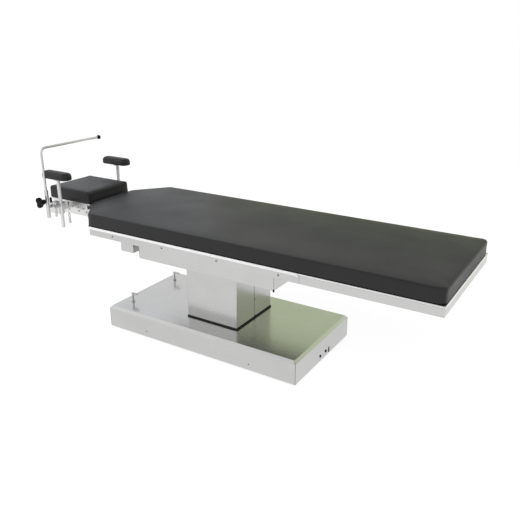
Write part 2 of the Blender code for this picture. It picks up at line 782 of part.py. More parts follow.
# Tilt mechanism
def tilt_yoke():
    """Plate on the inner column with two pin lugs, and an arm that the tilt actuator pushes on."""
    half = inner_column_size / 2
    plate = box((COLUMN_X - half, -half, yoke_bottom), (COLUMN_X + half, half, yoke_top))
    slot_start = COLUMN_X + YOKE_LUG_FOOT / 2
    slot_half = TILT_SLOT_WIDTH / 2
    slot = box(
        (slot_start, -slot_half, yoke_bottom - OVERLAP), (COLUMN_X + half + OVERLAP, slot_half, yoke_top + OVERLAP)
    )
    plate = cut(plate, slot)
    pin = (COLUMN_X, tilt_z)
    root = yoke_top - OVERLAP
    lug = hull(
        circle(pin, YOKE_LUG_RADIUS, ROUND_SIDES)
        + [(COLUMN_X - YOKE_LUG_FOOT / 2, root), (COLUMN_X + YOKE_LUG_FOOT / 2, root)]
    )
    lug_outer = YOKE_LUG_INNER + YOKE_LUG
    lugs = [prism(lug, "XZ", -lug_outer, -YOKE_LUG_INNER), prism(lug, "XZ", YOKE_LUG_INNER, lug_outer)]
    eye = (tilt_eye_x + TILT_EYE_SHIFT_X, tilt_rod_z + TILT_EYE_SHIFT_Z)
    arm_root = slot_start - TILT_ARM_RADIUS
    arm = hull(
        circle(eye, TILT_ARM_RADIUS, ROUND_SIDES)
        + [(arm_root, yoke_bottom + OVERLAP), (arm_root, yoke_top + TILT_ARM_RADIUS)]
    )
    yoke = joined(plate, *lugs, prism(arm, "XZ", -TILT_ARM_WIDTH / 2, TILT_ARM_WIDTH / 2))
    pin_hole = rod("XZ", pin, TILT_PIN_RADIUS + RUN_GAP, -lug_outer - OVERLAP, lug_outer + OVERLAP)
    eye_hole = rod(
        "XZ", eye, TILT_EYE_RADIUS + TILT_EYE_CLEARANCE, -TILT_ARM_WIDTH / 2 - OVERLAP, TILT_ARM_WIDTH / 2 + OVERLAP
    )
    return cut(yoke, pin_hole, eye_hole)


def tilt_cradle():
    """Two long plates on the tilt pin, tied to a beam that also carries the actuator's ears."""
    plate_head = bar_foot_x + FIT_GAP
    beam_head = CRADLE_BEAM_X - CRADLE_BEAM_LENGTH / 2
    beam_foot = CRADLE_BEAM_X + CRADLE_BEAM_LENGTH / 2
    plate_top = beam_top - CRADLE_TOP_DROP
    pin = (COLUMN_X, tilt_z)
    plate_outline = rectangle(plate_head, beam_head + OVERLAP, cradle_bottom, plate_top)
    beam_half = beam_inner - FIT_GAP
    cradle = box((beam_head, -beam_half, cradle_bottom), (beam_foot, beam_half, beam_top))
    plates = [
        prism(plate_outline, "XZ", cradle_inner, cradle_outer),
        prism(plate_outline, "XZ", -cradle_outer, -cradle_inner),
    ]
    root = (TILT_ROOT_X, tilt_rod_z)
    ear_root = cradle_bottom + OVERLAP
    ear = hull(
        circle(root, TILT_EAR_RADIUS, SMALL_SIDES)
        + [(beam_head + OVERLAP, ear_root), (beam_foot - OVERLAP, ear_root)]
    )
    ear_inner = TILT_LUG_WIDTH / 2 + RUN_GAP
    ear_outer = ear_inner + TILT_EAR
    ears = [prism(ear, "XZ", ear_inner, ear_outer), prism(ear, "XZ", -ear_outer, -ear_inner)]
    cradle = joined(cradle, *plates, *ears)
    pin_hole = rod("XZ", pin, TILT_PIN_RADIUS + RUN_GAP, -cradle_outer - OVERLAP, cradle_outer + OVERLAP)
    root_hole = rod(
        "XZ", root, TILT_EYE_RADIUS + RUN_GAP, -ear_outer - OVERLAP, ear_outer + OVERLAP, SMALL_SIDES
    )
    return cut(cradle, pin_hole, root_hole)


def tilt_motor():
    """Gear body with a side motor, guide tube towards the yoke, and a pinned lug at its root."""
    lug_half = TILT_LUG_WIDTH / 2
    root = (TILT_ROOT_X, tilt_rod_z)
    gear = hull(
        circle((0.0, tilt_rod_z), TILT_GEAR_RADIUS, ROUND_SIDES)
        + circle((TILT_MOTOR_OFFSET, tilt_rod_z), TILT_MOTOR_RADIUS, ROUND_SIDES)
    )
    body = prism(gear, "YZ", tilt_gear_head, tilt_gear_foot)
    lug = rod("XZ", root, TILT_EAR_RADIUS, -lug_half, lug_half)
    neck = box(
        (tilt_gear_foot - OVERLAP, -lug_half, tilt_rod_z - TILT_EYE_RADIUS),
        (TILT_ROOT_X, lug_half, tilt_rod_z + TILT_EYE_RADIUS),
    )
    pin_half = lug_half + RUN_GAP + TILT_EAR
    pin = rod("XZ", root, TILT_EYE_RADIUS, -pin_half, pin_half, SMALL_SIDES)
    motor_head = tilt_gear_foot - TILT_MOTOR_LENGTH
    motor = rod("YZ", (TILT_MOTOR_OFFSET, tilt_rod_z), TILT_MOTOR_RADIUS, motor_head, tilt_gear_head + OVERLAP)
    tube_head = tilt_gear_head - TILT_TUBE_LENGTH
    tube = rod("YZ", (0.0, tilt_rod_z), TILT_TUBE_RADIUS, tube_head, tilt_gear_head + OVERLAP)
    body = joined(body, lug, neck, pin, motor, tube)
    bore = rod("YZ", (0.0, tilt_rod_z), TILT_ROD_RADIUS + RUN_GAP, tube_head - OVERLAP, tilt_gear_head, SMALL_SIDES)
    return cut(body, bore)


def tilt_rod():
    """Actuator rod with a fork and a pin through the yoke's arm."""
    ear_inner = TILT_ARM_WIDTH / 2 + RUN_GAP
    ear_outer = ear_inner + TILT_FORK_EAR
    eye = (tilt_eye_x, tilt_rod_z)
    block_head = tilt_eye_x + TILT_ARM_RADIUS + TILT_EYE_CLEARANCE + RUN_GAP
    block_foot = block_head + TILT_FORK_BLOCK
    height = TILT_FORK_RADIUS * 0.6
    block = box((block_head, -ear_outer, tilt_rod_z - height), (block_foot, ear_outer, tilt_rod_z + height))
    ear = hull(
        circle(eye, TILT_FORK_RADIUS, SMALL_SIDES)
        + [(block_head + OVERLAP, tilt_rod_z - height), (block_head + OVERLAP, tilt_rod_z + height)]
    )
    ears = [prism(ear, "XZ", ear_inner, ear_outer), prism(ear, "XZ", -ear_outer, -ear_inner)]
    pin = rod("XZ", eye, TILT_EYE_RADIUS, -ear_inner - OVERLAP, ear_inner + OVERLAP, SMALL_SIDES)
    stem_end = tilt_gear_head - TILT_ROD_END_GAP
    stem = rod("YZ", (0.0, tilt_rod_z), TILT_ROD_RADIUS, block_foot - OVERLAP, stem_end, SMALL_SIDES)
    return joined(block, *ears, pin, stem)


# Table top
def side_beam():
    """Near side beam, stepped back to take the side rail flush."""
    outer = -table_side + PANEL_INSET / 2
    step = -table_side + RAIL_THICKNESS + FIT_GAP
    outline = [
        (FRAME_HEAD_X, step),
        (RAIL_FOOT_X + FIT_GAP, step),
        (RAIL_FOOT_X + FIT_GAP, outer),
        (FRAME_FOOT_X, outer),
        (FRAME_FOOT_X, -beam_inner),
        (FRAME_HEAD_X, -beam_inner),
    ]
    drawn_in = list(outline)
    drawn_in[2] = (RAIL_FOOT_X + FIT_GAP, outer + BEAM_CHAMFER)
    drawn_in[3] = (FRAME_FOOT_X - BEAM_CHAMFER, outer + BEAM_CHAMFER)
    drawn_in[4] = (FRAME_FOOT_X - BEAM_CHAMFER, -beam_inner)
    levels = ((outline, FRAME_BOTTOM), (outline, beam_top - BEAM_CHAMFER), (drawn_in, beam_top))
    return loft([[in_space(point, "XY", height) for point in points] for points, height in levels])


def side_rail():
    """Near side rail with a bright bevelled lip that widens towards the foot end."""
    outer = -table_side
    inner = outer + RAIL_THICKNESS
    rings = []
    for x, lip in ((FRAME_HEAD_X, RAIL_LIP_HEAD), (RAIL_FOOT_X, RAIL_LIP_FOOT)):
        outline = [
            (outer, FRAME_BOTTOM),
            (inner, FRAME_BOTTOM),
            (inner, beam_top),
            (outer + lip, beam_top),
            (outer, beam_top - lip),
        ]
        rings.append([in_space(point, "YZ", x) for point in outline])
    return loft(rings)


def head_frame_beam():
    """Head-end beam of the frame, with passages for the two slide bars."""
    half = beam_inner - FIT_GAP
    foot_x = FRAME_HEAD_X + END_BEAM_WIDTH
    beam = box((FRAME_HEAD_X, -half, FRAME_BOTTOM), (foot_x, half, beam_top))
    passages = []
    for side in (-1, 1):
        near = side * BAR_Y - BAR_THICKNESS / 2 - FIT_GAP
        far = side * BAR_Y + BAR_THICKNESS / 2 + FIT_GAP
        passages.append(
            box(
                (FRAME_HEAD_X - OVERLAP, near, FRAME_BOTTOM - OVERLAP),
                (foot_x + OVERLAP, far, bar_top + FIT_GAP),
            )
        )
    return cut(beam, *passages)


def table_outline(margin):
    """Six-cornered outline of the top with its tapered head end, drawn in by margin."""
    foot = FRAME_FOOT_X - margin
    side = table_side - margin
    return [
        (MATTRESS_HEAD_X + margin, -MATTRESS_HEAD_WIDTH / 2),
        (MATTRESS_TAPER_X, -side),
        (foot, -side),
        (foot, side),
        (MATTRESS_TAPER_X, side),
        (MATTRESS_HEAD_X + margin, MATTRESS_HEAD_WIDTH / 2),
    ]


def mechanism_housing():
    """Open skirt under the frame round the tilt mechanism."""
    half = table_side - SKIRT_INSET
    corners = rectangle(HOUSING_HEAD_X, HOUSING_FOOT_X, -half, half)
    top = FRAME_BOTTOM - FIT_GAP
    body = prism(rounded(corners, 0.004), "XY", housing_bottom, top)
    hollow = prism(rounded(corners, 0.004, HOUSING_SHEET), "XY", housing_bottom - OVERLAP, top + OVERLAP)
    return cut(body, hollow)


def cross_beam():
    """Box beam under the frame that the slide bars are seated on."""
    half = table_side - SKIRT_INSET
    top = FRAME_BOTTOM - FIT_GAP
    head = CROSS_BEAM_X - CROSS_BEAM_LENGTH / 2
    foot = CROSS_BEAM_X + CROSS_BEAM_LENGTH / 2
    corners = rectangle(head, foot, top - CROSS_BEAM_HEIGHT, top)
    beam = prism(rounded(corners, 0.003), "XZ", -half, half)
    pads = []
    for side in (-1, 1):
        near = side * BAR_Y - BAR_THICKNESS / 2
        far = side * BAR_Y + BAR_THICKNESS / 2
        pads.append(box((head + BAR_PAD_INSET, near, top - OVERLAP), (bar_foot_x, far, bar_bottom - FIT_GAP)))
    return joined(beam, *pads)


# Head section
def head_carriage():
    """Channel that wraps both slide bars, with two hinge lugs on its back."""
    bar_outer = BAR_Y + BAR_THICKNESS / 2 + RUN_GAP
    outer = bar_outer + CARRIAGE_WALL
    lip = outer - CARRIAGE_WALL - CARRIAGE_LIP
    roof = bar_top + RUN_GAP
    lip_top = bar_bottom - RUN_GAP
    half_profile = [
        (lip, carriage_bottom),
        (outer, carriage_bottom),
        (outer, carriage_top),
    ]
    inner_profile = [
        (bar_outer, roof),
        (bar_outer, lip_top),
        (lip, lip_top),
    ]
    profile = half_profile + [(-y, z) for y, z in reversed(half_profile)]
    profile += [(-y, z) for y, z in reversed(inner_profile)] + inner_profile
    carriage = prism(profile, "YZ", CARRIAGE_HEAD_X, CARRIAGE_FOOT_X)
    pin = (HINGE_X, hinge_z)
    root = carriage_top - OVERLAP
    lug = hull(
        circle(pin, HINGE_RADIUS, ROUND_SIDES) + [(HINGE_X - HINGE_ROOT, root), (HINGE_X + HINGE_ROOT, root)]
    )
    lug_outer = HINGE_LUG_INNER + HINGE_LUG
    lugs = [prism(lug, "XZ", HINGE_LUG_INNER, lug_outer), prism(lug, "XZ", -lug_outer, -HINGE_LUG_INNER)]
    carriage = joined(carriage, *lugs)
    pin_hole = rod("XZ", pin, HINGE_PIN_RADIUS + FIT_GAP, -lug_outer - OVERLAP, lug_outer + OVERLAP, SMALL_SIDES)
    screw_hole = rod(
        "XY",
        (LOCK_SCREW_X, -BAR_Y),
        LOCK_SCREW_RADIUS + RUN_GAP,
        carriage_bottom - OVERLAP,
        lip_top + OVERLAP,
        SMALL_SIDES,
    )
    return cut(carriage, pin_hole, screw_hole)


def head_plate():
    """Plate under the head cushion with two hinge knuckles beside the carriage's lugs."""
    half = HEAD_CUSHION_WIDTH / 2 - HEAD_PLATE_INSET
    corners = rectangle(
        HEAD_CUSHION_HEAD_X + HEAD_PLATE_INSET, HEAD_CUSHION_FOOT_X - HEAD_PLATE_INSET, -half, half
    )
    plate = prism(rounded(corners, HEAD_CUSHION_CORNER - HEAD_PLATE_INSET), "XY", head_plate_bottom, head_plate_top)
    pin = (HINGE_X, hinge_z)
    root = head_plate_bottom + OVERLAP
    knuckle = hull(
        circle(pin, HINGE_RADIUS, ROUND_SIDES) + [(HINGE_X - HINGE_ROOT, root), (HINGE_X + HINGE_ROOT, root)]
    )
    inner = HINGE_LUG_INNER + HINGE_LUG + RUN_GAP
    outer = inner + HINGE_LUG
    knuckles = [prism(knuckle, "XZ", inner, outer), prism(knuckle, "XZ", -outer, -inner)]
    flange_head = HEAD_CUSHION_HEAD_X + HEAD_PLATE_INSET + HEAD_CUSHION_CORNER
    flange_foot = HEAD_CUSHION_FOOT_X - HEAD_PLATE_INSET - HEAD_CUSHION_CORNER
    flange_bottom = head_plate_bottom - HEAD_FLANGE_DROP
    notch = accessory_half + HEAD_FLANGE_NOTCH
    flanges = []
    for near, far in ((-half, -half + HEAD_FLANGE), (half - HEAD_FLANGE, half)):
        for low, high in ((flange_head, accessory_x - notch), (accessory_x + notch, flange_foot)):
            flanges.append(box((low, near, flange_bottom), (high, far, root)))
    plate = joined(plate, *knuckles, *flanges)
    pin_hole = rod("XZ", pin, HINGE_PIN_RADIUS + RUN_GAP, -outer - OVERLAP, outer + OVERLAP, SMALL_SIDES)
    return cut(plate, pin_hole)


def bar_passage(y_low, y_high):
    """Cutter for the accessory bar's way through a clamp."""
    reach = accessory_half + FIT_GAP
    return box(
        (accessory_x - reach, y_low, accessory_bottom - FIT_GAP),
        (accessory_x + reach, y_high, accessory_top + FIT_GAP),
    )


def post_clamp():
    """Near clamp block: the accessory bar runs through it and its round nose holds the wrist post."""
    bar_foot = accessory_x + accessory_half + FIT_GAP + CLAMP_WALL / 2
    outline = rounded(rectangle(clamp_head_x, bar_foot, -clamp_outer_y, -clamp_inner_y), CLAMP_CORNER)
    nose = circle((POST_X, -POST_Y), POST_RADIUS + CLAMP_NOSE, ROUND_SIDES)
    block = prism(hull(outline + nose), "XY", clamp_bottom, clamp_top)
    passage = bar_passage(-clamp_outer_y - OVERLAP, -clamp_inner_y + OVERLAP)
    bore = rod(
        "XY", (POST_X, -POST_Y), POST_RADIUS + RUN_GAP, clamp_bottom - OVERLAP, clamp_top + OVERLAP
    )
    return cut(block, passage, bore)


def shelf_clamp():
    """The near clamp with a shelf in front of it that the rod holder's link is bolted on."""
    shelf_start = -POST_Y - POST_RADIUS - RUN_GAP - OVERLAP
    outline = rectangle(
        POST_X - SHELF_HALF, POST_X + SHELF_HALF, -clamp_outer_y - SHELF_REACH, shelf_start
    )
    shelf = prism(rounded(outline, SHELF_CORNER), "XY", shelf_top - SHELF_THICKNESS, shelf_top)
    bolt_way = rod(
        "XY",
        bolt_centre,
        CLAMP_BOLT_RADIUS + RUN_GAP,
        shelf_top - SHELF_THICKNESS - OVERLAP,
        shelf_top + OVERLAP,
        SMALL_SIDES,
    )
    return cut(joined(post_clamp(), shelf), bolt_way)


def clamp_bolt():
    """Vertical clamp bolt with a domed cap."""
    cap_bottom = clamp_top + FIT_GAP
    side_top = cap_bottom + CLAMP_CAP_SIDE
    profile = [
        (CLAMP_BOLT_RADIUS, CLAMP_BOLT_BOTTOM),
        (CLAMP_BOLT_RADIUS, cap_bottom),
        (CLAMP_CAP_RADIUS, cap_bottom),
        (CLAMP_CAP_RADIUS, side_top),
    ]
    for angle in (25.0, 50.0, 70.0, 85.0):
        turn = math.radians(angle)
        profile.append((CLAMP_CAP_RADIUS * math.cos(turn), side_top + CLAMP_CAP_DOME * math.sin(turn)))
    return revolved(profile, bolt_centre)


def clamp_lever(way):
    """Black lever on the near clamp's outer face, pointing up (1) or down (-1)."""
    axis = (accessory_x, lever_z)
    tip = (accessory_x, lever_z + way * LEVER_LENGTH)
    face = -clamp_outer_y - FIT_GAP
    grip = hull(circle(axis, LEVER_RADIUS, SMALL_SIDES) + circle(tip, LEVER_TIP_RADIUS, SMALL_SIDES))
    handle = prism(grip, "XZ", face - LEVER_STUB - LEVER_THICKNESS, face - LEVER_STUB)
    stub = rod("XZ", axis, LEVER_RADIUS * 0.8, face - LEVER_STUB - OVERLAP, face, SMALL_SIDES)
    return joined(handle, stub)


def wrist_post():
    """Post with a flange that carries the wrist rest."""
    top = REST_BOTTOM - FIT_GAP
    profile = [
        (POST_RADIUS, POST_BOTTOM),
        (POST_RADIUS, top - POST_FLANGE),
        (POST_FLANGE_RADIUS, top - POST_FLANGE),
        (POST_FLANGE_RADIUS, top),
    ]
    return revolved(profile, (POST_X, -POST_Y))


def wrist_rest():
    """Padded bar with a rounded top."""
    middle = POST_X + REST_SHIFT
    corners = rectangle(
        middle - REST_LENGTH / 2, middle + REST_LENGTH / 2, -POST_Y - REST_WIDTH / 2, -POST_Y + REST_WIDTH / 2
    )
    top = REST_BOTTOM + REST_HEIGHT
    return cushion(
        corners, REST_CORNER_RADIUS, REST_BOTTOM, top, REST_CROWN, REST_EDGE, REST_FOOT, REST_CROWN_DEPTH
    )


def rod_holder():
    """Upright tube for the screen rod on a link plate that the clamp bolt holds on the near clamp's shelf."""
    outline = rectangle(POST_X - LINK_HALF, POST_X + LINK_HALF, ROD_Y, -clamp_outer_y - FIT_GAP)
    link = prism(outline, "XY", link_bottom, clamp_top)
    tube = rod("XY", (POST_X, ROD_Y), HOLDER_TUBE_RADIUS, HOLDER_BOTTOM, HOLDER_TOP)
    holder = joined(link, tube)
    bolt_way = rod(
        "XY", bolt_centre, CLAMP_BOLT_RADIUS + RUN_GAP, link_bottom - OVERLAP, clamp_top + OVERLAP, SMALL_SIDES
    )
    bore = rod(
        "XY", (POST_X, ROD_Y), ROD_RADIUS + RUN_GAP, HOLDER_BOTTOM - OVERLAP, HOLDER_TOP + OVERLAP, SMALL_SIDES
    )
    screw_way = rod(
        "XZ",
        (POST_X, KNOB_Z),
        KNOB_SHANK_RADIUS + RUN_GAP,
        ROD_Y - HOLDER_TUBE_RADIUS - OVERLAP,
        ROD_Y,
        SMALL_SIDES,
    )
    return cut(holder, bolt_way, bore, screw_way)


def screen_rod():
    """Bent round rod: upright in the holder, then level across the table."""
    bend_z = ROD_TOP - ROD_BEND
    path = [(ROD_Y, ROD_BOTTOM)]
    for step in range(7):
        turn = math.radians(15 * step)
        path.append((ROD_Y + ROD_BEND * (1 - math.cos(turn)), bend_z + ROD_BEND * math.sin(turn)))
    path.append((ROD_TIP_Y, ROD_TOP))
    rings = []
    for index, (y, z) in enumerate(path):
        before = path[max(index - 1, 0)]
        after = path[min(index + 1, len(path) - 1)]
        if index == 1:
            after = (before[0], z + 1.0)
        if index == len(path) - 2:
            before = (y - 1.0, after[1])
        along = Vector((after[0] - before[0], after[1] - before[1])).normalized()
        ring = []
        for first, second in circle((0.0, 0.0), ROD_RADIUS, SMALL_SIDES):
            ring.append((POST_X + first, y - along.y * second, z + along.x * second))
        rings.append(ring)
    return loft(rings)


def rod_ball():
    """Black ball on the rod's tip, with a blind seat for the rod."""
    middle = ROD_TIP_Y - BALL_SEAT + BALL_RADIUS
    rings = []
    for step in range(1, 12):
        turn = math.pi * step / 12
        outline = circle((POST_X, ROD_TOP), BALL_RADIUS * math.sin(turn), SMALL_SIDES)
        rings.append([in_space(point, "XZ", middle - BALL_RADIUS * math.cos(turn)) for point in outline])
    ball = loft(rings)
    seat = rod(
        "XZ", (POST_X, ROD_TOP), ROD_RADIUS + FIT_GAP, middle - 2 * BALL_RADIUS, ROD_TIP_Y + FIT_GAP, SMALL_SIDES
    )
    return cut(ball, seat)


def star_knob():
    """Three-lobed knob with a boss and a clamping shank that points at the screen rod."""
    steps = KNOB_LOBES * 14
    outline = []
    for index in range(steps):
        angle = 2 * math.pi * index / steps
        swell = 0.5 + 0.5 * math.cos(KNOB_LOBES * (angle - KNOB_TURN))
        radius = KNOB_WAIST + (KNOB_RADIUS - KNOB_WAIST) * swell**0.8
        outline.append((radius * math.cos(angle), radius * math.sin(angle)))
    tip = ROD_Y - ROD_RADIUS - RUN_GAP
    boss_end = ROD_Y - HOLDER_TUBE_RADIUS - KNOB_BOSS_LENGTH
    head_end = boss_end - KNOB_THICKNESS
    rings = []
    for across, share in ((head_end, 0.86), (head_end + 0.004, 1.0), (boss_end - 0.004, 1.0), (boss_end, 0.86)):
        rings.append([(POST_X + share * x, across, KNOB_Z + share * z) for x, z in outline])
    head = loft(rings)
    boss_start = ROD_Y - HOLDER_TUBE_RADIUS - 0.004
    boss = rod("XZ", (POST_X, KNOB_Z), KNOB_BOSS_RADIUS, boss_end - OVERLAP, boss_start, SMALL_SIDES)
    shank = rod("XZ", (POST_X, KNOB_Z), KNOB_SHANK_RADIUS, boss_start - OVERLAP, tip, SMALL_SIDES)
    return joined(head, boss, shank)


def lock_screw():
    """Screw through the carriage's lip, with a round cross hub and a grip below it."""
    centre = (LOCK_SCREW_X, -BAR_Y)
    tip = bar_bottom - FIT_GAP
    hub_z = carriage_bottom - LOCK_SCREW_DROP
    half = LOCK_HUB_WIDTH / 2
    screw = rod("XY", centre, LOCK_SCREW_RADIUS, hub_z, tip, SMALL_SIDES)
    hub = rod("XZ", (LOCK_SCREW_X, hub_z), LOCK_HUB_RADIUS, -BAR_Y - half, -BAR_Y + half, SMALL_SIDES)
    grip_top = hub_z - LOCK_HUB_RADIUS / 2
    grip = rod("XY", centre, LOCK_GRIP_RADIUS, grip_top - LOCK_GRIP_LENGTH, grip_top, SMALL_SIDES)
    return joined(screw, hub, grip)


# Base pieces
pedal_x = -BASE_LENGTH / 2 + PEDAL_INSET
pedal_y = BASE_WIDTH / 2 - PEDAL_SIDE_INSET
place(base_chassis(), "base_chassis", "zinc_steel")
place(base_cover(), "base_cover", "mirror_steel")
place(column_gasket(), "column_gasket", "black_rubber")
place(socket(-1), "socket_near", "black_plastic", smooth=True)
place(socket(1), "socket_far", "black_plastic", smooth=True)
place_pair(column_half(), "column_cover", "mirror_steel")
place(square_tube(GUIDE_SIZE, GUIDE_WALL, guide_bottom, guide_top), "column_guide", "zinc_steel")
place(lift_motor(), "lift_motor", "painted_steel", smooth=True)
control_top = chassis_bottom - FIT_GAP
control_box = box(
    (CONTROL_BOX_X - CONTROL_BOX_LENGTH / 2, -CONTROL_BOX_WIDTH / 2, control_top - CONTROL_BOX_HEIGHT),
    (CONTROL_BOX_X + CONTROL_BOX_LENGTH / 2, CONTROL_BOX_WIDTH / 2, control_top),
)
place(control_box, "control_box", "grey_plastic")
place_pair(pedal(), "pedal", "brushed_steel", (pedal_x, -pedal_y, base_top + PEDAL_RISE), smooth=True)

# Castors
castor_head_x = -BASE_LENGTH / 2 + CASTOR_HEAD_INSET
castor_foot_x = BASE_LENGTH / 2 - CASTOR_FOOT_INSET
castor_y = BASE_WIDTH / 2 - CASTOR_SIDE_INSET
fork_master = castor_fork()
wheel_master = castor_wheel()
for end_name, castor_x in (("head", castor_head_x), ("foot", castor_foot_x)):
    for side_name, castor_side in (("near", -castor_y), ("far", castor_y)):
        spot = (castor_x, castor_side, 0.0)
        tag = end_name + "_" + side_name
        fork_pivot = (castor_x, castor_side, chassis_bottom - FIT_GAP)
        fork = place(moved_copy(fork_master, spot), "castor_fork_" + tag, "zinc_steel", fork_pivot, smooth=True)
        axle_point = (castor_x - CASTOR_TRAIL, castor_side, WHEEL_RADIUS)
        place(moved_copy(wheel_master, spot), "castor_wheel_" + tag, "grey_plastic", axle_point, fork, smooth=True)
bpy.data.objects.remove(fork_master, do_unlink=True)
bpy.data.objects.remove(wheel_master, do_unlink=True)

# Lift
lift = joint_empty("lift_axis", (COLUMN_X, 0.0, yoke_bottom))
inner_column = square_tube(
    inner_column_size, INNER_COLUMN_WALL, chassis_top + INNER_COLUMN_LIFT_OFF, yoke_bottom - FIT_GAP
)
place(inner_column, "inner_column", "brushed_steel", (COLUMN_X, 0.0, yoke_bottom), lift)
lift_rod = rod("XY", (COLUMN_X, 0.0), LIFT_ROD_RADIUS, guide_bottom + LIFT_ROD_START, yoke_bottom - FIT_GAP)
place(lift_rod, "lift_rod", "chrome", (COLUMN_X, 0.0, yoke_bottom), lift, smooth=True)
place(tilt_yoke(), "tilt_yoke", "zinc_steel", (COLUMN_X, 0.0, tilt_z), lift, smooth=True)
pin_half = cradle_outer + OVERLAP
tilt_pin = rod("XZ", (COLUMN_X, tilt_z), TILT_PIN_RADIUS, -pin_half, pin_half)
place(tilt_pin, "tilt_pin", "chrome", (COLUMN_X, 0.0, tilt_z), lift, smooth=True)

# Table top
table_axis = (COLUMN_X, 0.0, tilt_z)
table = joint_empty("table_axis", table_axis, lift)
place_pair(side_beam(), "side_beam", "brushed_steel", (COLUMN_X, 0.0, tilt_z), table)
place_pair(side_rail(), "side_rail", "brushed_steel", (COLUMN_X, 0.0, tilt_z), table)
place(head_frame_beam(), "frame_beam_head", "brushed_steel", table_axis, table)
foot_profile = [
    (FRAME_FOOT_X - END_BEAM_WIDTH, FRAME_BOTTOM),
    (FRAME_FOOT_X, FRAME_BOTTOM),
    (FRAME_FOOT_X, beam_top - BEAM_CHAMFER),
    (FRAME_FOOT_X - BEAM_CHAMFER, beam_top),
    (FRAME_FOOT_X - END_BEAM_WIDTH, beam_top),
]
foot_beam = prism(foot_profile, "XZ", -beam_inner + FIT_GAP, beam_inner - FIT_GAP)
place(foot_beam, "frame_beam_foot", "brushed_steel", table_axis, table)
panel = prism(rounded(table_outline(PANEL_INSET), 0.012), "XY", panel_bottom, panel_top)
place(panel, "tabletop_panel", "brushed_steel", table_axis, table)
mattress = cushion(
    table_outline(0.0),
    MATTRESS_CORNER_RADIUS,
    mattress_bottom,
    mattress_bottom + MATTRESS_THICKNESS,
    MATTRESS_CROWN,
    MATTRESS_EDGE,
    CUSHION_FOOT,
    MATTRESS_CROWN_DEPTH,
)
place(mattress, "mattress", "black_leatherette", table_axis, table, smooth=True)
place(cross_beam(), "cross_beam", "brushed_steel", table_axis, table)
place(mechanism_housing(), "mechanism_housing", "brushed_steel", table_axis, table)
place(tilt_cradle(), "tilt_cradle", "zinc_steel", table_axis, table)
slide_bar = box(
    (BAR_HEAD_X, -BAR_Y - BAR_THICKNESS / 2, bar_bottom), (bar_foot_x, -BAR_Y + BAR_THICKNESS / 2, bar_top)
)
place_pair(slide_bar, "slide_bar", "chrome", (COLUMN_X, 0.0, tilt_z), table)
motor = place(
    tilt_motor(), "tilt_motor", "painted_steel", (TILT_ROOT_X, 0.0, tilt_rod_z), table, smooth=True
)
place(tilt_rod(), "tilt_rod", "chrome", (tilt_eye_x, 0.0, tilt_rod_z), motor, smooth=True)

# Head section
head_origin = (POST_X, 0.0, carriage_top)
head = joint_empty("head_slide_axis", head_origin, table)
place(head_carriage(), "head_carriage", "brushed_steel", head_origin, head)
knob_side = HINGE_LUG_INNER + 2 * HINGE_LUG + RUN_GAP
hinge_pin = rod("XZ", (HINGE_X, hinge_z), HINGE_PIN_RADIUS, -knob_side, knob_side, SMALL_SIDES)
place(hinge_pin, "head_hinge_pin", "chrome", (HINGE_X, 0.0, hinge_z), head, smooth=True)
bolt_centre = (POST_X, -POST_Y - CLAMP_BOLT_OFFSET)
lever_z = clamp_top - LEVER_RISE
accessory_bar = box(
    (accessory_x - accessory_half, -clamp_outer_y, accessory_bottom),
    (accessory_x + accessory_half, clamp_outer_y, accessory_top),
)
place(accessory_bar, "accessory_bar", "brushed_steel", head_origin, head)
place(shelf_clamp(), "post_clamp_near", "brushed_steel", head_origin, head)
place(far_side(post_clamp()), "post_clamp_far", "brushed_steel", head_origin, head)
place(rod_holder(), "rod_holder", "chrome", head_origin, head, smooth=True)
place(clamp_bolt(), "clamp_bolt", "chrome", (*bolt_centre, clamp_top), head, smooth=True)
lever_pivot = (accessory_x, -clamp_outer_y, lever_z)
place(clamp_lever(1), "clamp_lever_near", "black_plastic", lever_pivot, head, smooth=True)
far_lever_pivot = (accessory_x, clamp_outer_y, lever_z)
place(far_side(clamp_lever(-1)), "clamp_lever_far", "black_plastic", far_lever_pivot, head, smooth=True)
place(lock_screw(), "slide_lock_screw", "chrome", (LOCK_SCREW_X, -BAR_Y, bar_bottom), head, smooth=True)
hinge_point = (HINGE_X, 0.0, hinge_z)
plate = place(head_plate(), "head_plate", "brushed_steel", hinge_point, head)
cushion_half = HEAD_CUSHION_WIDTH / 2
head_cushion = cushion(
    rectangle(HEAD_CUSHION_HEAD_X, HEAD_CUSHION_FOOT_X, -cushion_half, cushion_half),
    HEAD_CUSHION_CORNER,
    head_cushion_bottom,
    head_cushion_bottom + HEAD_CUSHION_THICKNESS,
    HEAD_CUSHION_CROWN,
    HEAD_CUSHION_EDGE,
    CUSHION_FOOT,
    HEAD_CUSHION_CROWN_DEPTH,
)
place(head_cushion, "head_cushion", "black_leatherette", hinge_point, plate, smooth=True)
post_point = (POST_X, -POST_Y, REST_BOTTOM)
posts = place_pair(wrist_post(), "wrist_post", "chrome", post_point, head, smooth=True)
near_rest = wrist_rest()
far_rest = mirrored(near_rest)
place(near_rest, "wrist_rest_near", "black_leatherette", post_point, posts[0], smooth=True)
far_point = (POST_X, POST_Y, REST_BOTTOM)
place(far_rest, "wrist_rest_far", "black_leatherette", far_point, posts[1], smooth=True)
rod_point = (POST_X, ROD_Y, ROD_BOTTOM)
screen = place(screen_rod(), "screen_rod", "chrome", rod_point, head, smooth=True)
place(rod_ball(), "rod_ball", "black_plastic", (POST_X, ROD_TIP_Y, ROD_TOP), screen, smooth=True)
knob_point = (POST_X, ROD_Y - HOLDER_TUBE_RADIUS, KNOB_Z)
place(star_knob(), "star_knob", "black_plastic", knob_point, head, smooth=True)
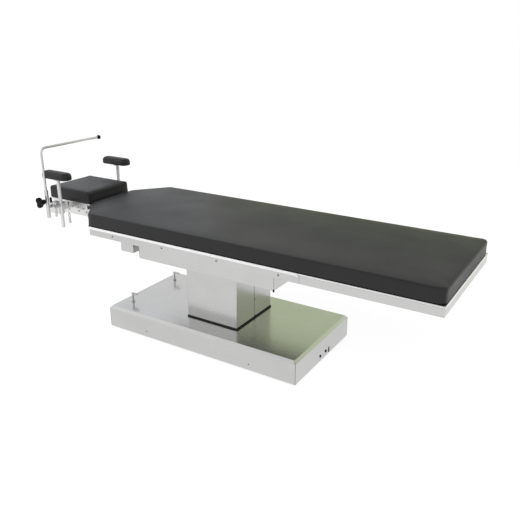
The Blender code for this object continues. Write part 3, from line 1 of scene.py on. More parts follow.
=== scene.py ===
"""Looks of the ophthalmic operating table: steel and chrome finishes, leatherette pads, small fittings.

Metres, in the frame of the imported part: +X towards the foot end, -Y the photographed side, +Z up.
"""

import json
import math

import bmesh
import bpy
from mathutils import Matrix, Vector


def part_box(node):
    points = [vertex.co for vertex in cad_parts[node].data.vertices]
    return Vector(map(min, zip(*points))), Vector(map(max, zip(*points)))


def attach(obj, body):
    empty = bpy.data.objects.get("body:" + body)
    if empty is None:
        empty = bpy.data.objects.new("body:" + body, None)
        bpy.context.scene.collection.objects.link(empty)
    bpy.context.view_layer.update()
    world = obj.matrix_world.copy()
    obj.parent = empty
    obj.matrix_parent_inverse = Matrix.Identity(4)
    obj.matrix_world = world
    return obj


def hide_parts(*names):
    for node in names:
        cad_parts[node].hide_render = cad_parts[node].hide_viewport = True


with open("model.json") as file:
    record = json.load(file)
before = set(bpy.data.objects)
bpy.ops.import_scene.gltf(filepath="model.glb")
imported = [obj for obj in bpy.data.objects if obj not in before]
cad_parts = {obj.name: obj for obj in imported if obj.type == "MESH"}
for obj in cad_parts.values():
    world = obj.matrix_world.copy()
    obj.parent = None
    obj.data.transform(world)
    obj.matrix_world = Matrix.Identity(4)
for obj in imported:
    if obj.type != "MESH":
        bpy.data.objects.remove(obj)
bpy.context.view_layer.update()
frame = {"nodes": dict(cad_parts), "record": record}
nodes = frame["nodes"]
scene = bpy.context.scene
scene.view_settings.view_transform = "Standard"

# Camera, matched to the photograph
CAMERA_PLACE = Vector((1.3888, -1.9681, 1.2637))
CAMERA_AZIMUTH = math.radians(31.752)
CAMERA_ELEVATION = math.radians(20.949)
CAMERA_LENS = 42.13
CAMERA_SENSOR = 36.0
CAMERA_CLIP = (0.01, 200.0)

# Light
SKY_FOR_LIGHT = 0.62
SKY_SEEN = 1.0
CEILING_START = 0.55
CEILING_TONE = 0.40
KEY_POWER = 62.0
KEY_SIZE = 2.6
KEY_PLACE = Vector((1.4, -2.4, 3.4))
FILL_POWER = 24.0
FILL_SIZE = 5.0
FILL_PLACE = Vector((-2.6, -1.6, 2.2))
LAMP_AIM = Vector((0.0, 0.0, 0.4))

# Stage
WHITE = (1.0, 1.0, 1.0)
FLOOR_HALF = 40.0
FLOOR_COLOUR = (0.86, 0.86, 0.86, 1.0)
FLOOR_ROUGHNESS = 0.9
FLOOR_GLOW = 0.855
FLOOR_SHADE = (0.30, 0.30, 0.30, 1.0)
WALL_Y = 0.8
WALL_ENDS = (-2.4, 1.4)
WALL_LEVELS = (0.34, 1.3)
WALL_FADE_Z = (0.74, 0.82)
WALL_OLIVE = (0.67, 0.76, 0.50)
WALL_OLIVE_FADE_X = (-0.72, -0.54)
WALL_PALE_OLIVE = (0.85, 0.94, 0.67)
WALL_PALE_FADE_X = (0.30, 0.60)
WALL_GREY = (0.64, 0.64, 0.62)
WALL_GREY_FADE_X = (-0.60, 0.50)
WALL_COOL = (1.06, 1.12, 1.18)
WALL_COOL_FADE_X = (-0.60, -1.20)

# Finishes
POLISHED_STEEL = (0.52, 0.52, 0.516)
SATIN_STEEL = (0.54, 0.54, 0.536)
# Lighter copy of the satin steel for some head parts: a painted highlight
PAINTED_HIGHLIGHT_STEEL = (0.68, 0.68, 0.675)
CHROME = (0.60, 0.60, 0.60)
# Chrome far lighter than plain chrome, for the rail lips: a painted highlight
PAINTED_HIGHLIGHT_CHROME = (0.90, 0.90, 0.90)
MATT_CHROME = (0.80, 0.80, 0.80)
ZINC = (0.46, 0.47, 0.48)
GREY_PAINT = (0.30, 0.31, 0.32)
LEATHERETTE = (0.016, 0.016, 0.017)
RUBBER = (0.012, 0.012, 0.012)
BLACK_PLASTIC = (0.004, 0.004, 0.0045)
GREY_PLASTIC = (0.20, 0.20, 0.21)
STREAK_SCALE = 700.0
MARK_SCALE = 9.0
GRAIN_DEPTH = 0.0002
HANDLED_SCALE = 5.0
PEBBLE_SCALE = 620.0
PORE_SCALE = 1700.0
FOAM_SCALE = 16.0
MOULD_MARK_SCALE = 30.0
WEAR_SCALE = 140.0
WEAR_LIKENESS = (0.80, 0.995)
BEVEL_SAMPLES = 6
ALONG_X = (120.0, 1.0, 1.0)
NO_GRAIN = (4.0, 4.0, 4.0)
# Nodes that get the lighter steel copy, a painted highlight
PAINTED_HIGHLIGHT_NODES = ("accessory_bar", "head_carriage", "head_plate", "post_clamp_near", "post_clamp_far")

# Edges and facets
EDGE_SOFTNESS = 0.0008
WEAR_REACH = 0.0016
ROUND_SIDES = 40
CORNER_STEPS = 5
EDGE_ANGLES = (0.0, 30.0, 60.0, 90.0)
SHADE_ANGLE = math.radians(40)
LEAST_ROUND = 0.0002
CHAMFER = 0.0006

# Directions
UP = (0.0, 0.0, 1.0)
NEAR = (0.0, -1.0, 0.0)
FAR = (0.0, 1.0, 0.0)
FOOT = (1.0, 0.0, 0.0)
HEAD = (-1.0, 0.0, 0.0)

# Padding; each pad has edge radius, pull of the sides, point spacing, greatest swelling and fill
SIM_FRAMES = 20
SIM_PRESSURE = 4.0
CLOTH_QUALITY = 5
CLOTH_MASS = 0.3
CLOTH_BENDING = 0.8
LEAST_MOVE = 1e-6
PAD_FOOT = 0.0025
PAD_SIDE_SHARES = (0.25, 0.5, 0.75, 1.0)
PAD_EDGE_ANGLES = (22.5, 45.0, 67.5, 90.0)
PAD_WELD = 0.0001
MATTRESS_HEAD_WIDTH = 0.248
MATTRESS_TAPER = 0.121
MATTRESS_CORNERS = (0.016, 0.040, 0.024, 0.024, 0.040, 0.016)
MATTRESS_PAD = (0.0095, 0.0006, 0.020, 0.0018, 0.9)
CUSHION_CORNERS = (0.014,) * 4
CUSHION_PAD = (0.0105, 0.0008, 0.010, 0.0018, 0.85)
REST_CORNERS = (0.024,) * 4
REST_PAD = (0.0165, 0.0004, 0.005, 0.0016, 0.9)

# Fasteners; each has radius and height of its head
RAIL_SCREW = (0.0048, 0.0018)
BASE_SCREW = (0.0036, 0.0014)
COLUMN_SCREW = (0.0028, 0.0012)
LEVER_SCREW = (0.0034, 0.0014)
FLANGE_SCREW = (0.0042, 0.0020)
CARRIAGE_BOLT = (0.0042, 0.0042)
SCREW_SIDES = 24
# Sides of the black socket fillings, which are painted shade
SOCKET_SHADE_SIDES = 12
HEXAGON = 6
WASHER_THICKNESS = 0.001
SUNK = 0.0002

# Head fittings
ROD_BEND = 0.026
ROD_CHAMFER = 0.0012
ROD_BEND_STEPS = 14
BALL_COLLAR_RADIUS = 0.0066
POST_RADIUS = 0.008
BOLT_RADIUS = 0.0055
BOLT_CAP_HEIGHT = 0.015
BOLT_CAP_SIDE = 0.008
KNOB_Z = 0.550
KNOB_RADIUS = 0.025
KNOB_WAIST = 0.013
KNOB_LOBES = 3
KNOB_TURN = math.radians(12)
KNOB_THICKNESS = 0.024
# Depth from the face and share of the outline
KNOB_EDGE = ((0.0010, 0.42), (0.0, 0.60), (0.0006, 0.76), (0.0024, 0.90), (0.0060, 0.985), (0.0100, 1.0))
KNOB_LOBE_POINTS = 24
KNOB_BOSS_RADIUS = 0.010
KNOB_BOSS_LENGTH = 0.012
KNOB_SHANK_RADIUS = 0.004
LEVER_RADIUS = 0.006
LEVER_TIP_RADIUS = 0.005
LEVER_THICKNESS = 0.008
LEVER_GRIP_LENGTH = 0.026
LEVER_STUB_RADIUS = 0.0048
LEVER_STUB_LENGTH = 0.006
LEVER_INSET = 0.0015
LEVER_EDGE = 0.0015
LEVER_GRIP_EDGE = 0.0022
LEVER_STEPS = 10
LOCK_RING_RADIUS = 0.0066
LOCK_RING_WIRE = 0.0027
LOCK_RING_POINTS = 36
LOCK_WIRE_SIDES = 16
LOCK_SCREW_RADIUS = 0.0035
LOCK_RING_RISE = 0.0385
LOCK_COLLAR_RADIUS = 0.0048
FLANGE_SCREW_PLACES = (-0.872, -0.836, -0.7645, -0.727, -0.690)
FLANGE_SCREW_RISE = 0.009
CARRIAGE_BOLT_PLACES = (-0.866, -0.828, -0.765, -0.715)

# Base and frame fittings
PEDAL_STEM_RADIUS = 0.0035
PEDAL_COLLAR = ((0.0040, -0.0040), (0.0055, -0.0034), (0.0055, -0.0004), (0.0050, 0.0))
PEDAL_PAD_HEIGHT = 0.010
TREAD_THICKNESS = 0.004
TREAD_HALF_WIDTH = 0.0065
TREAD_CORNER = 0.003
TREAD_EDGE = 0.001
TREAD_RIBS = 6
TREAD_RIB_RADIUS = 0.0007
TREAD_RIB_SINK = 0.0008
TREAD_RIB_INSET = 0.0015
TREAD_RIB_START = 0.003
TREAD_RIB_MARGIN = 0.004
BASE_SCREW_PLACES = (-0.259, 0.263)
BASE_SCREW_Z = 0.0375
RAIL_SCREW_PLACES = (-0.371, -0.110, 0.152, 0.415)
RAIL_SCREW_Z = 0.4600
# Reach outward and rise
LIP_SECTION = (
    (-0.0008, 0.0034),
    (0.0004, 0.0034),
    (0.0062, -0.0024),
    (0.0062, -0.0040),
    (0.0052, -0.0050),
    (-0.0008, -0.0050),
)
LIP_DROP = 0.0002
# Distance to the rail's end and size
LIP_END = ((0.014, 1.0), (0.012, 1.2), (0.003, 1.2), (0.0008, 0.9), (0.0, 0.5))
EDGE_LIP_SHARE = 0.5
EDGE_LIP_RISE = 0.0016
EDGE_LIP_OVERLAP = 0.004
COLUMN_SCREW_LEVELS = (0.300, 0.195, 0.119)
COLUMN_SCREW_Y = 0.0045
BUMPER_PROFILE = ((0.0020, -0.0055), (0.0032, -0.0050), (0.0032, 0.0045), (0.0020, 0.0050))
BUMPER_INSET = 0.0015
BUMPER_SIDES = 20
SEAM_RADIUS = 0.0006
# Radius of the dark strips in the column joint and on the housing edges, which are painted shade
SHADE_STRIP_RADIUS = 0.00084
STRIP_SIDES = 10
STRIP_INSET = 0.001
# Black strips in the column cover's joint: painted shade
JOINT_SHADE_INSET = 0.0003
JOINT_SHADE_FOOT = 0.006
BASE_SEAM_HEIGHT = 0.087
SOCKET_RIM_INSET = 0.0024
SOCKET_FACE_INSET = 0.0006
SOCKET_PIN_RADIUS = 0.0022
WHEEL_BORE_RADIUS = 0.0057
WHEEL_BOSS_RADIUS = 0.010
NOTCH_Y = 0.053
NOTCH_WIDTH = 0.012
NOTCH_HEIGHT = 0.030
NOTCH_WALL = 0.0022
# Black sheet behind the cable notch: painted shade
NOTCH_SHADE_MARGIN = 0.003
NOTCH_SHADE_RISE = 0.004
NOTCH_SHADE_CORNER = 0.004
NOTCH_SHADE_THICKNESS = 0.0016
NOTCH_SHADE_EDGE = 0.0004


# Camera and stage
def placed(name, data):
    """A new object in the scene."""
    item = bpy.data.objects.new(name, data)
    scene.collection.objects.link(item)
    return item


def looking(place, way):
    """Placement of a camera or lamp that looks along a direction."""
    return Matrix.Translation(place) @ way.to_track_quat("-Z", "Y").to_matrix().to_4x4()


def make_camera():
    """The photograph's view: no roll, no shift, level horizon."""
    data = bpy.data.cameras.new("camera")
    data.lens = CAMERA_LENS
    data.sensor_fit = "HORIZONTAL"
    data.sensor_width = CAMERA_SENSOR
    data.clip_start, data.clip_end = CAMERA_CLIP
    camera = placed("camera", data)
    level = math.cos(CAMERA_ELEVATION)
    back = Vector(
        (math.sin(CAMERA_AZIMUTH) * level, -math.cos(CAMERA_AZIMUTH) * level, math.sin(CAMERA_ELEVATION))
    )
    camera.matrix_world = looking(CAMERA_PLACE, -back)
    scene.camera = camera


def seen_directly(tree):
    """1 for camera, mirror and transmission rays, so that a surface shows there as plain white."""
    path = tree.nodes.new("ShaderNodeLightPath")
    total = path.outputs["Is Camera Ray"]
    for kind in ("Is Glossy Ray", "Is Transmission Ray"):
        total = combined(tree, "MAXIMUM", total, path.outputs[kind])
    return total


def make_world():
    """Even white surroundings, dimmer as a light than as a background."""
    world = bpy.data.worlds.new("surroundings")
    world.use_nodes = True
    tree = world.node_tree
    background = tree.nodes["Background"]
    background.inputs["Color"].default_value = (*WHITE, 1.0)
    strength = mapped(tree, seen_directly(tree), SKY_FOR_LIGHT, SKY_SEEN, 0.0, 1.0)
    direction = tree.nodes.new("ShaderNodeTexCoord")
    parts = tree.nodes.new("ShaderNodeSeparateXYZ")
    tree.links.new(direction.outputs["Generated"], parts.inputs["Vector"])
    ceiling = mapped(tree, parts.outputs["Z"], 1.0, CEILING_TONE, CEILING_START, 1.0)
    brightness = combined(tree, "MULTIPLY", strength, ceiling)
    tree.links.new(brightness, background.inputs["Strength"])
    scene.world = world


def stage_sheet(name, points):
    """Four-cornered stage piece with its own material; gives the piece and its nodes."""
    mesh = bpy.data.meshes.new(name)
    mesh.from_pydata(points, [], [(0, 1, 2, 3)])
    sheet = placed(name, mesh)
    material, tree = new_surface(name)[:2]
    mesh.materials.append(material)
    return sheet, tree


def make_floor():
    """Pale floor that is seen as near white and keeps a soft share of the shadow."""
    signs = [(-1, -1), (1, -1), (1, 1), (-1, 1)]
    floor, tree = stage_sheet("floor", [(x * FLOOR_HALF, y * FLOOR_HALF, 0.0) for x, y in signs])
    matt = tree.nodes["Principled BSDF"]
    matt.inputs["Base Color"].default_value = FLOOR_COLOUR
    matt.inputs["Roughness"].default_value = FLOOR_ROUGHNESS
    matt.inputs["Specular IOR Level"].default_value = 0.0
    white = tree.nodes.new("ShaderNodeEmission")
    white.inputs["Strength"].default_value = FLOOR_GLOW
    shade = tree.nodes.new("ShaderNodeBsdfDiffuse")
    shade.inputs["Color"].default_value = FLOOR_SHADE
    seen = tree.nodes.new("ShaderNodeAddShader")
    tree.links.new(white.outputs["Emission"], seen.inputs[0])
    tree.links.new(shade.outputs["BSDF"], seen.inputs[1])
    mix = tree.nodes.new("ShaderNodeMixShader")
    tree.links.new(seen_directly(tree), mix.inputs["Fac"])
    tree.links.new(matt.outputs["BSDF"], mix.inputs[1])
    tree.links.new(seen.outputs["Shader"], mix.inputs[2])
    tree.links.new(mix.outputs["Shader"], tree.nodes["Material Output"].inputs["Surface"])


def make_wall():
    """Wall that only gloss sees: olive low down at the foot half, grey above it, cool at the head."""
    low, high = WALL_LEVELS
    head, foot = WALL_ENDS
    places = [(head, low), (foot, low), (foot, high), (head, high)]
    wall, tree = stage_sheet("far_wall", [(x, WALL_Y, z) for x, z in places])
    coords = tree.nodes.new("ShaderNodeTexCoord")
    parts = tree.nodes.new("ShaderNodeSeparateXYZ")
    tree.links.new(coords.outputs["Object"], parts.inputs["Vector"])

    def along(fade):
        return mapped(tree, parts.outputs["X"], 0.0, 1.0, *fade)

    olive = blended(tree, along(WALL_PALE_FADE_X), WALL_OLIVE, WALL_PALE_OLIVE)
    lower = blended(tree, along(WALL_OLIVE_FADE_X), WHITE, olive)
    cool = blended(tree, along(WALL_COOL_FADE_X), WHITE, WALL_COOL)
    upper = blended(tree, along(WALL_GREY_FADE_X), cool, WALL_GREY)
    up = mapped(tree, parts.outputs["Z"], 0.0, 1.0, *WALL_FADE_Z)
    paint = tree.nodes.new("ShaderNodeEmission")
    tree.links.new(blended(tree, up, lower, upper), paint.inputs["Color"])
    tree.links.new(paint.outputs["Emission"], tree.nodes["Material Output"].inputs["Surface"])
    wall.visible_camera = False
    wall.visible_diffuse = False
    wall.visible_shadow = False
    wall.visible_transmission = False


def make_lamp(name, place, size, power, mirrored):
    """Square soft box aimed at the middle of the table; mirrored says whether polished metal shows it."""
    data = bpy.data.lights.new(name, "AREA")
    data.shape = "SQUARE"
    data.size = size
    data.energy = power
    lamp = placed(name, data)
    lamp.matrix_world = looking(place, LAMP_AIM - place)
    lamp.visible_glossy = mirrored


# Material pieces
def new_surface(name):
    """A material, its node tree and its shader."""
    material = bpy.data.materials.new(name)
    material.use_nodes = True
    return material, material.node_tree, material.node_tree.nodes["Principled BSDF"]


def noise_field(tree, scale, stretch=(1.0, 1.0, 1.0), detail=3.0):
    """Noise in object space: scale is cells per metre, and stretch draws them out along an axis."""
    coords = tree.nodes.new("ShaderNodeTexCoord")
    mapping = tree.nodes.new("ShaderNodeMapping")
    mapping.inputs["Scale"].default_value = [scale / length for length in stretch]
    noise = tree.nodes.new("ShaderNodeTexNoise")
    noise.inputs["Scale"].default_value = 1.0
    noise.inputs["Detail"].default_value = detail
    tree.links.new(coords.outputs["Object"], mapping.inputs["Vector"])
    tree.links.new(mapping.outputs["Vector"], noise.inputs["Vector"])
    return noise.outputs["Fac"]


def cell_field(tree, scale):
    """Irregular cells, for a pebbled grain."""
    coords = tree.nodes.new("ShaderNodeTexCoord")
    cells = tree.nodes.new("ShaderNodeTexVoronoi")
    cells.feature = "DISTANCE_TO_EDGE"
    cells.inputs["Scale"].default_value = scale
    tree.links.new(coords.outputs["Object"], cells.inputs["Vector"])
    return cells.outputs["Distance"]


def mapped(tree, field, low, high, field_low=0.3, field_high=0.7):
    """Part of the field's range turned into values from low to high."""
    spread = tree.nodes.new("ShaderNodeMapRange")
    spread.inputs["From Min"].default_value = field_low
    spread.inputs["From Max"].default_value = field_high
    spread.inputs["To Min"].default_value = low
    spread.inputs["To Max"].default_value = high
    tree.links.new(field, spread.inputs["Value"])
    return spread.outputs["Result"]


def blended(tree, field, first, second):
    """Colour from first to second as the field goes from 0 to 1; each is a colour or an output."""
    mix = tree.nodes.new("ShaderNodeMix")
    mix.data_type = "RGBA"
    tree.links.new(field, mix.inputs["Factor"])
    for socket, colour in ((mix.inputs[6], first), (mix.inputs[7], second)):
        if isinstance(colour, tuple):
            socket.default_value = (*colour, 1.0)
        else:
            tree.links.new(colour, socket)
    return mix.outputs[2]


def combined(tree, operation, first, second):
    """Two fields joined by an arithmetic operation."""
    joined = tree.nodes.new("ShaderNodeMath")
    joined.operation = operation
    tree.links.new(first, joined.inputs[0])
    tree.links.new(second, joined.inputs[1])
    return joined.outputs["Value"]


def soft_edges(tree, radius):
    """Normal that turns round the edges, so that they catch the light."""
    bevel = tree.nodes.new("ShaderNodeBevel")
    bevel.samples = BEVEL_SAMPLES
    bevel.inputs["Radius"].default_value = radius
    return bevel.outputs["Normal"]


def worn_edges(tree, reach):
    """1 along the edges and 0 on the flats, broken up by noise."""
    rounded = soft_edges(tree, reach)
    geometry = tree.nodes.new("ShaderNodeNewGeometry")
    likeness = tree.nodes.new("ShaderNodeVectorMath")
    likeness.operation = "DOT_PRODUCT"
    tree.links.new(rounded, likeness.inputs[0])
    tree.links.new(geometry.outputs["Normal"], likeness.inputs[1])
    edge = mapped(tree, likeness.outputs["Value"], 1.0, 0.0, *WEAR_LIKENESS)
    breaks = mapped(tree, noise_field(tree, WEAR_SCALE), 0.25, 1.0)
    return combined(tree, "MULTIPLY", edge, breaks)


def bumped(tree, field, distance, strength, normal=None):
    """Normal from a height field, on top of another normal where one is given."""
    bump = tree.nodes.new("ShaderNodeBump")
    bump.inputs["Distance"].default_value = distance
    bump.inputs["Strength"].default_value = strength
    tree.links.new(field, bump.inputs["Height"])
    if normal is not None:
        tree.links.new(normal, bump.inputs["Normal"])
    return bump.outputs["Normal"]


def lighter(colour, share):
    """A colour scaled, and kept under white."""
    return tuple(min(part * share, 0.95) for part in colour)


def mottled(tree, field, colour, darkest, lightest):
    """A colour that varies with a field, between two shares of itself."""
    return blended(tree, mapped(tree, field, 0.0, 1.0), lighter(colour, darkest), lighter(colour, lightest))


# Finishes
def metal(name, colour, roughness, grain, grain_bump, smudge=0.05, wear=1.12, metallic=1.0):
    """Metal with a drawn grain, faint hand marks and brighter edges; grain draws out the streaks."""
    material, tree, shader = new_surface(name)
    streaks = noise_field(tree, STREAK_SCALE, grain, detail=5.0)
    marks = noise_field(tree, MARK_SCALE, detail=4.0)
    tone = mottled(tree, marks, colour, 0.97, 1.03)
    worn = worn_edges(tree, WEAR_REACH)
    tree.links.new(blended(tree, worn, tone, lighter(colour, wear)), shader.inputs["Base Color"])
    shader.inputs["Metallic"].default_value = metallic
    grained = mapped(tree, streaks, roughness * 0.85, roughness * 1.2)
    smudged = mapped(tree, marks, -smudge, smudge)
    tree.links.new(combined(tree, "ADD", grained, smudged), shader.inputs["Roughness"])
    normal = bumped(tree, streaks, GRAIN_DEPTH, grain_bump, soft_edges(tree, EDGE_SOFTNESS))
    tree.links.new(normal, shader.inputs["Normal"])
    return material


def plated(name, colour, roughness, metallic=1.0):
    """Chrome plating: no grain and hardly a mark."""
    return metal(name, colour, roughness, NO_GRAIN, 0.004, smudge=0.02, wear=1.05, metallic=metallic)


def leatherette(name):
    """Coated upholstery: pebbled grain, slight unevenness from the foam, duller where it is handled."""
    material, tree, shader = new_surface(name)
    handled = noise_field(tree, HANDLED_SCALE, detail=4.0)
    tree.links.new(mottled(tree, handled, LEATHERETTE, 0.85, 1.2), shader.inputs["Base Color"])
    shader.inputs["Specular IOR Level"].default_value = 0.27
    pebbles = cell_field(tree, PEBBLE_SCALE)
    pores = noise_field(tree, PORE_SCALE, detail=2.0)
    foam = noise_field(tree, FOAM_SCALE, detail=2.0)
    dull = mapped(tree, handled, 0.40, 0.50)
    uneven = combined(tree, "ADD", dull, mapped(tree, pores, -0.05, 0.05))
    tree.links.new(uneven, shader.inputs["Roughness"])
    normal = bumped(tree, foam, 0.0012, 0.25)
    normal = bumped(tree, mapped(tree, pebbles, 0.0, 1.0, 0.0, 0.25), GRAIN_DEPTH, 0.22, normal)
    normal = bumped(tree, pores, 0.0001, 0.15, normal)
    tree.links.new(normal, shader.inputs["Normal"])
    return material


def moulded(name, colour, roughness, grain_scale, grain_bump, specular=0.4):
    """Moulded plastic or rubber: fine spark texture, paler worn edges."""
    material, tree, shader = new_surface(name)
    grain = noise_field(tree, grain_scale, detail=4.0)
    marks = noise_field(tree, MOULD_MARK_SCALE, detail=3.0)
    tone = mottled(tree, marks, colour, 0.85, 1.2)
    worn = worn_edges(tree, WEAR_REACH)
    tree.links.new(blended(tree, worn, tone, lighter(colour, 2.2)), shader.inputs["Base Color"])
    shader.inputs["Specular IOR Level"].default_value = specular
    tree.links.new(mapped(tree, grain, roughness * 0.85, roughness * 1.15), shader.inputs["Roughness"])
    normal = bumped(tree, grain, GRAIN_DEPTH, grain_bump, soft_edges(tree, EDGE_SOFTNESS))
    tree.links.new(normal, shader.inputs["Normal"])
    return material


finishes = {
    "mirror_steel": metal("polished_steel", POLISHED_STEEL, 0.23, ALONG_X, 0.025, smudge=0.03),
    "brushed_steel": metal("satin_steel", SATIN_STEEL, 0.26, ALONG_X, 0.06),
    "chrome": plated("chrome", CHROME, 0.27),
    "zinc_steel": metal("zinc_steel", ZINC, 0.42, NO_GRAIN, 0.05),
    "painted_steel": moulded("grey_paint", GREY_PAINT, 0.42, 500.0, 0.08, specular=0.5),
    "black_leatherette": leatherette("black_leatherette"),
    "black_rubber": moulded("black_rubber", RUBBER, 0.6, 900.0, 0.15, specular=0.3),
    "black_plastic": moulded("black_plastic", BLACK_PLASTIC, 0.60, 1400.0, 0.10, specular=0.14),
    "grey_plastic": moulded("grey_plastic", GREY_PLASTIC, 0.5, 1400.0, 0.12),
}
# Extra-light chrome for the rail lips: a painted highlight
painted_highlight_chrome = plated("painted_highlight_chrome", PAINTED_HIGHLIGHT_CHROME, 0.46)
matt_chrome = plated("matt_chrome", MATT_CHROME, 0.46, metallic=0.5)
# Lighter copy of the satin steel: a painted highlight on the nodes listed above
painted_highlight_steel = metal("satin_steel_painted_highlight", PAINTED_HIGHLIGHT_STEEL, 0.28, ALONG_X, 0.05)


def dress(piece, slot):
    """Gives a new piece the finish of one of the record's slots."""
    piece.data.materials.clear()
    piece.data.materials.append(finishes[slot])


# Shapes: each is a pair of point and face lists
def merged(*shapes):
    """Several shapes as one."""
    points = []
    faces = []
    for shape_points, shape_faces in shapes:
        start = len(points)
        points.extend(shape_points)
        faces.extend([[start + index for index in face] for face in shape_faces])
    return points, faces


def skinned(rings, closed_path=False):
    """Skin over rings of equal count, capped at both ends unless the path closes on itself."""
    count = len(rings[0])
    points = [point for ring in rings for point in ring]
    faces = []
    spans = len(rings) if closed_path else len(rings) - 1
    for level in range(spans):
        low = level * count
        high = ((level + 1) % len(rings)) * count
        for index in range(count):
            after = (index + 1) % count
            faces.append([low + index, low + after, high + after, high + index])
    if not closed_path:
        faces.append(list(range(count))[::-1])
        faces.append([(len(rings) - 1) * count + index for index in range(count)])
    return points, faces


def facing(axis):
    """Turn that takes +Z to the axis."""
    return Vector(UP).rotation_difference(Vector(axis)).to_matrix()


def turned(profile, place, axis=UP, sides=ROUND_SIDES, socket=None, through=False):
    """Profile of (radius, height) turned round an axis; rings up to radius socket are hexagons, for a key.

    A through profile is a closed loop, and leaves a bore.
    """
    turn = facing(axis)
    rings = []
    for radius, height in profile:
        ring = []
        for index in range(sides):
            angle = 2 * math.pi * index / sides
            reach = radius
            if socket is not None and radius <= socket:
                sector = (angle + math.pi / 6) % (math.pi / 3) - math.pi / 6
                reach = radius * math.cos(math.pi / 6) / math.cos(sector)
            local = Vector((reach * math.cos(angle), reach * math.sin(angle), height))
            ring.append(tuple(Vector(place) + turn @ local))
        rings.append(ring)
    return skinned(rings, through)


def swept(path, radius, sides=ROUND_SIDES, closed=False):
    """Round bar along a path of points; radius is one number or one for each point."""
    path = [Vector(point) for point in path]
    count = len(path)
    radii = radius if isinstance(radius, list) else [radius] * count
    rings = []
    side = None
    for index, point in enumerate(path):
        before = path[(index - 1) % count] if closed else path[max(index - 1, 0)]
        after = path[(index + 1) % count] if closed else path[min(index + 1, count - 1)]
        along = (after - before).normalized()
        if side is None:
            side = along.orthogonal().normalized()
        side = (side - along * side.dot(along)).normalized()
        other = along.cross(side)
        ring = []
        for step in range(sides):
            angle = 2 * math.pi * step / sides
            ring.append(tuple(point + (side * math.cos(angle) + other * math.sin(angle)) * radii[index]))
        rings.append(ring)
    return skinned(rings, closed)


def arc(centre, radius, start, end, steps):
    """Points on an arc in a plane, angles in degrees."""
    points = []
    for step in range(steps + 1):
        angle = math.radians(start + (end - start) * step / steps)
        points.append((centre[0] + radius * math.cos(angle), centre[1] + radius * math.sin(angle)))
    return points


def rounded_plan(low, high, radius, inset=0.0):
    """Rectangle with round corners, drawn in by inset."""
    left, near = low[0] + inset, low[1] + inset
    right, far = high[0] - inset, high[1] - inset
    round_by = max(radius - inset, LEAST_ROUND)
    turns = [(right, far, 0), (left, far, 90), (left, near, 180), (right, near, 270)]
    points = []
    for x, y, start in turns:
        middle_x = left + round_by if x == left else right - round_by
        middle_y = near + round_by if y == near else far - round_by
        points.extend(arc((middle_x, middle_y), round_by, start, start + 90, CORNER_STEPS))
    return points


def slab(plan, low, high, edge, place):
    """Solid of an outline between two levels, with rounded edges. plan(inset) gives the outline."""
    steps = []
    for angle in EDGE_ANGLES:
        turn = math.radians(angle)
        steps.append((edge * (1 - math.sin(turn)), edge * (1 - math.cos(turn))))
    levels = [(inset, low + rise) for inset, rise in steps]
    levels += [(inset, high - rise) for inset, rise in reversed(steps)]
    return skinned([[place(point, level) for point in plan(inset)] for inset, level in levels])


carriers = {}
for body_name, members in frame["record"]["behaviour"]["bodies"].items():
    for member in members:
        carriers[member] = body_name


def box_ends(node):
    """Lowest and highest corner of a node."""
    low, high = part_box(node)
    return Vector(low), Vector(high)


def corners(node):
    """Lowest and highest corner of a node, and its middle."""
    low, high = box_ends(node)
    return low, high, (low + high) / 2


def set_right(mesh, weld=0.0):
    """Joins points closer than weld, and turns all faces outward."""
    work = bmesh.new()
    work.from_mesh(mesh)
    if weld:
        bmesh.ops.remove_doubles(work, verts=work.verts, dist=weld)
    bmesh.ops.recalc_face_normals(work, faces=work.faces)
    work.to_mesh(mesh)
    work.free()


def make_piece(name, shape, slot, body, *replaced):
    """A shape as a dressed piece that rides on a body and may stand for CAD nodes."""
    mesh = bpy.data.meshes.new(name)
    mesh.from_pydata(shape[0], [], shape[1])
    set_right(mesh)
    mesh.shade_smooth()
    mesh.set_sharp_from_angle(angle=SHADE_ANGLE)
    piece = placed(name, mesh)
    dress(piece, slot)
    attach(piece, body)
    if replaced:
        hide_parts(*replaced)
    return piece


# Padding
def baked(piece):
    """The piece's modifiers turned into plain mesh."""
    view = bpy.context.evaluated_depsgraph_get()
    mesh = bpy.data.meshes.new_from_object(piece.evaluated_get(view))
    piece.modifiers.clear()
    piece.data = mesh


def dense_outline(plan, radii, spacing):
    """Outline of a convex plan with round corners, with points at about the same spacing all round."""
    count = len(plan)
    sides = [Vector(plan[index]) - Vector(plan[index - 1]) for index in range(count)]
    reaches = []
    for index in range(count):
        turn = sides[index].angle(sides[(index + 1) % count])
        reaches.append(radii[index] * math.tan(turn / 2))
    outline = []
    for index, corner in enumerate(plan):
        after_index = (index + 1) % count
        before = sides[index].normalized()
        after = sides[after_index].normalized()
        middle = Vector(corner) - before * reaches[index] + Vector((-before.y, before.x)) * radii[index]
        start = math.degrees(math.atan2(-before.x, before.y))
        end = start + math.degrees(before.angle(after))
        outline.extend(arc(middle, radii[index], start, end, CORNER_STEPS))
        leave = Vector(corner) + after * reaches[index]
        arrive = Vector(plan[after_index]) - after * reaches[after_index]
        pieces = max(round((arrive - leave).length / spacing), 1)
        for step in range(1, pieces):
            outline.append(tuple(leave.lerp(arrive, step / pieces)))
    return outline


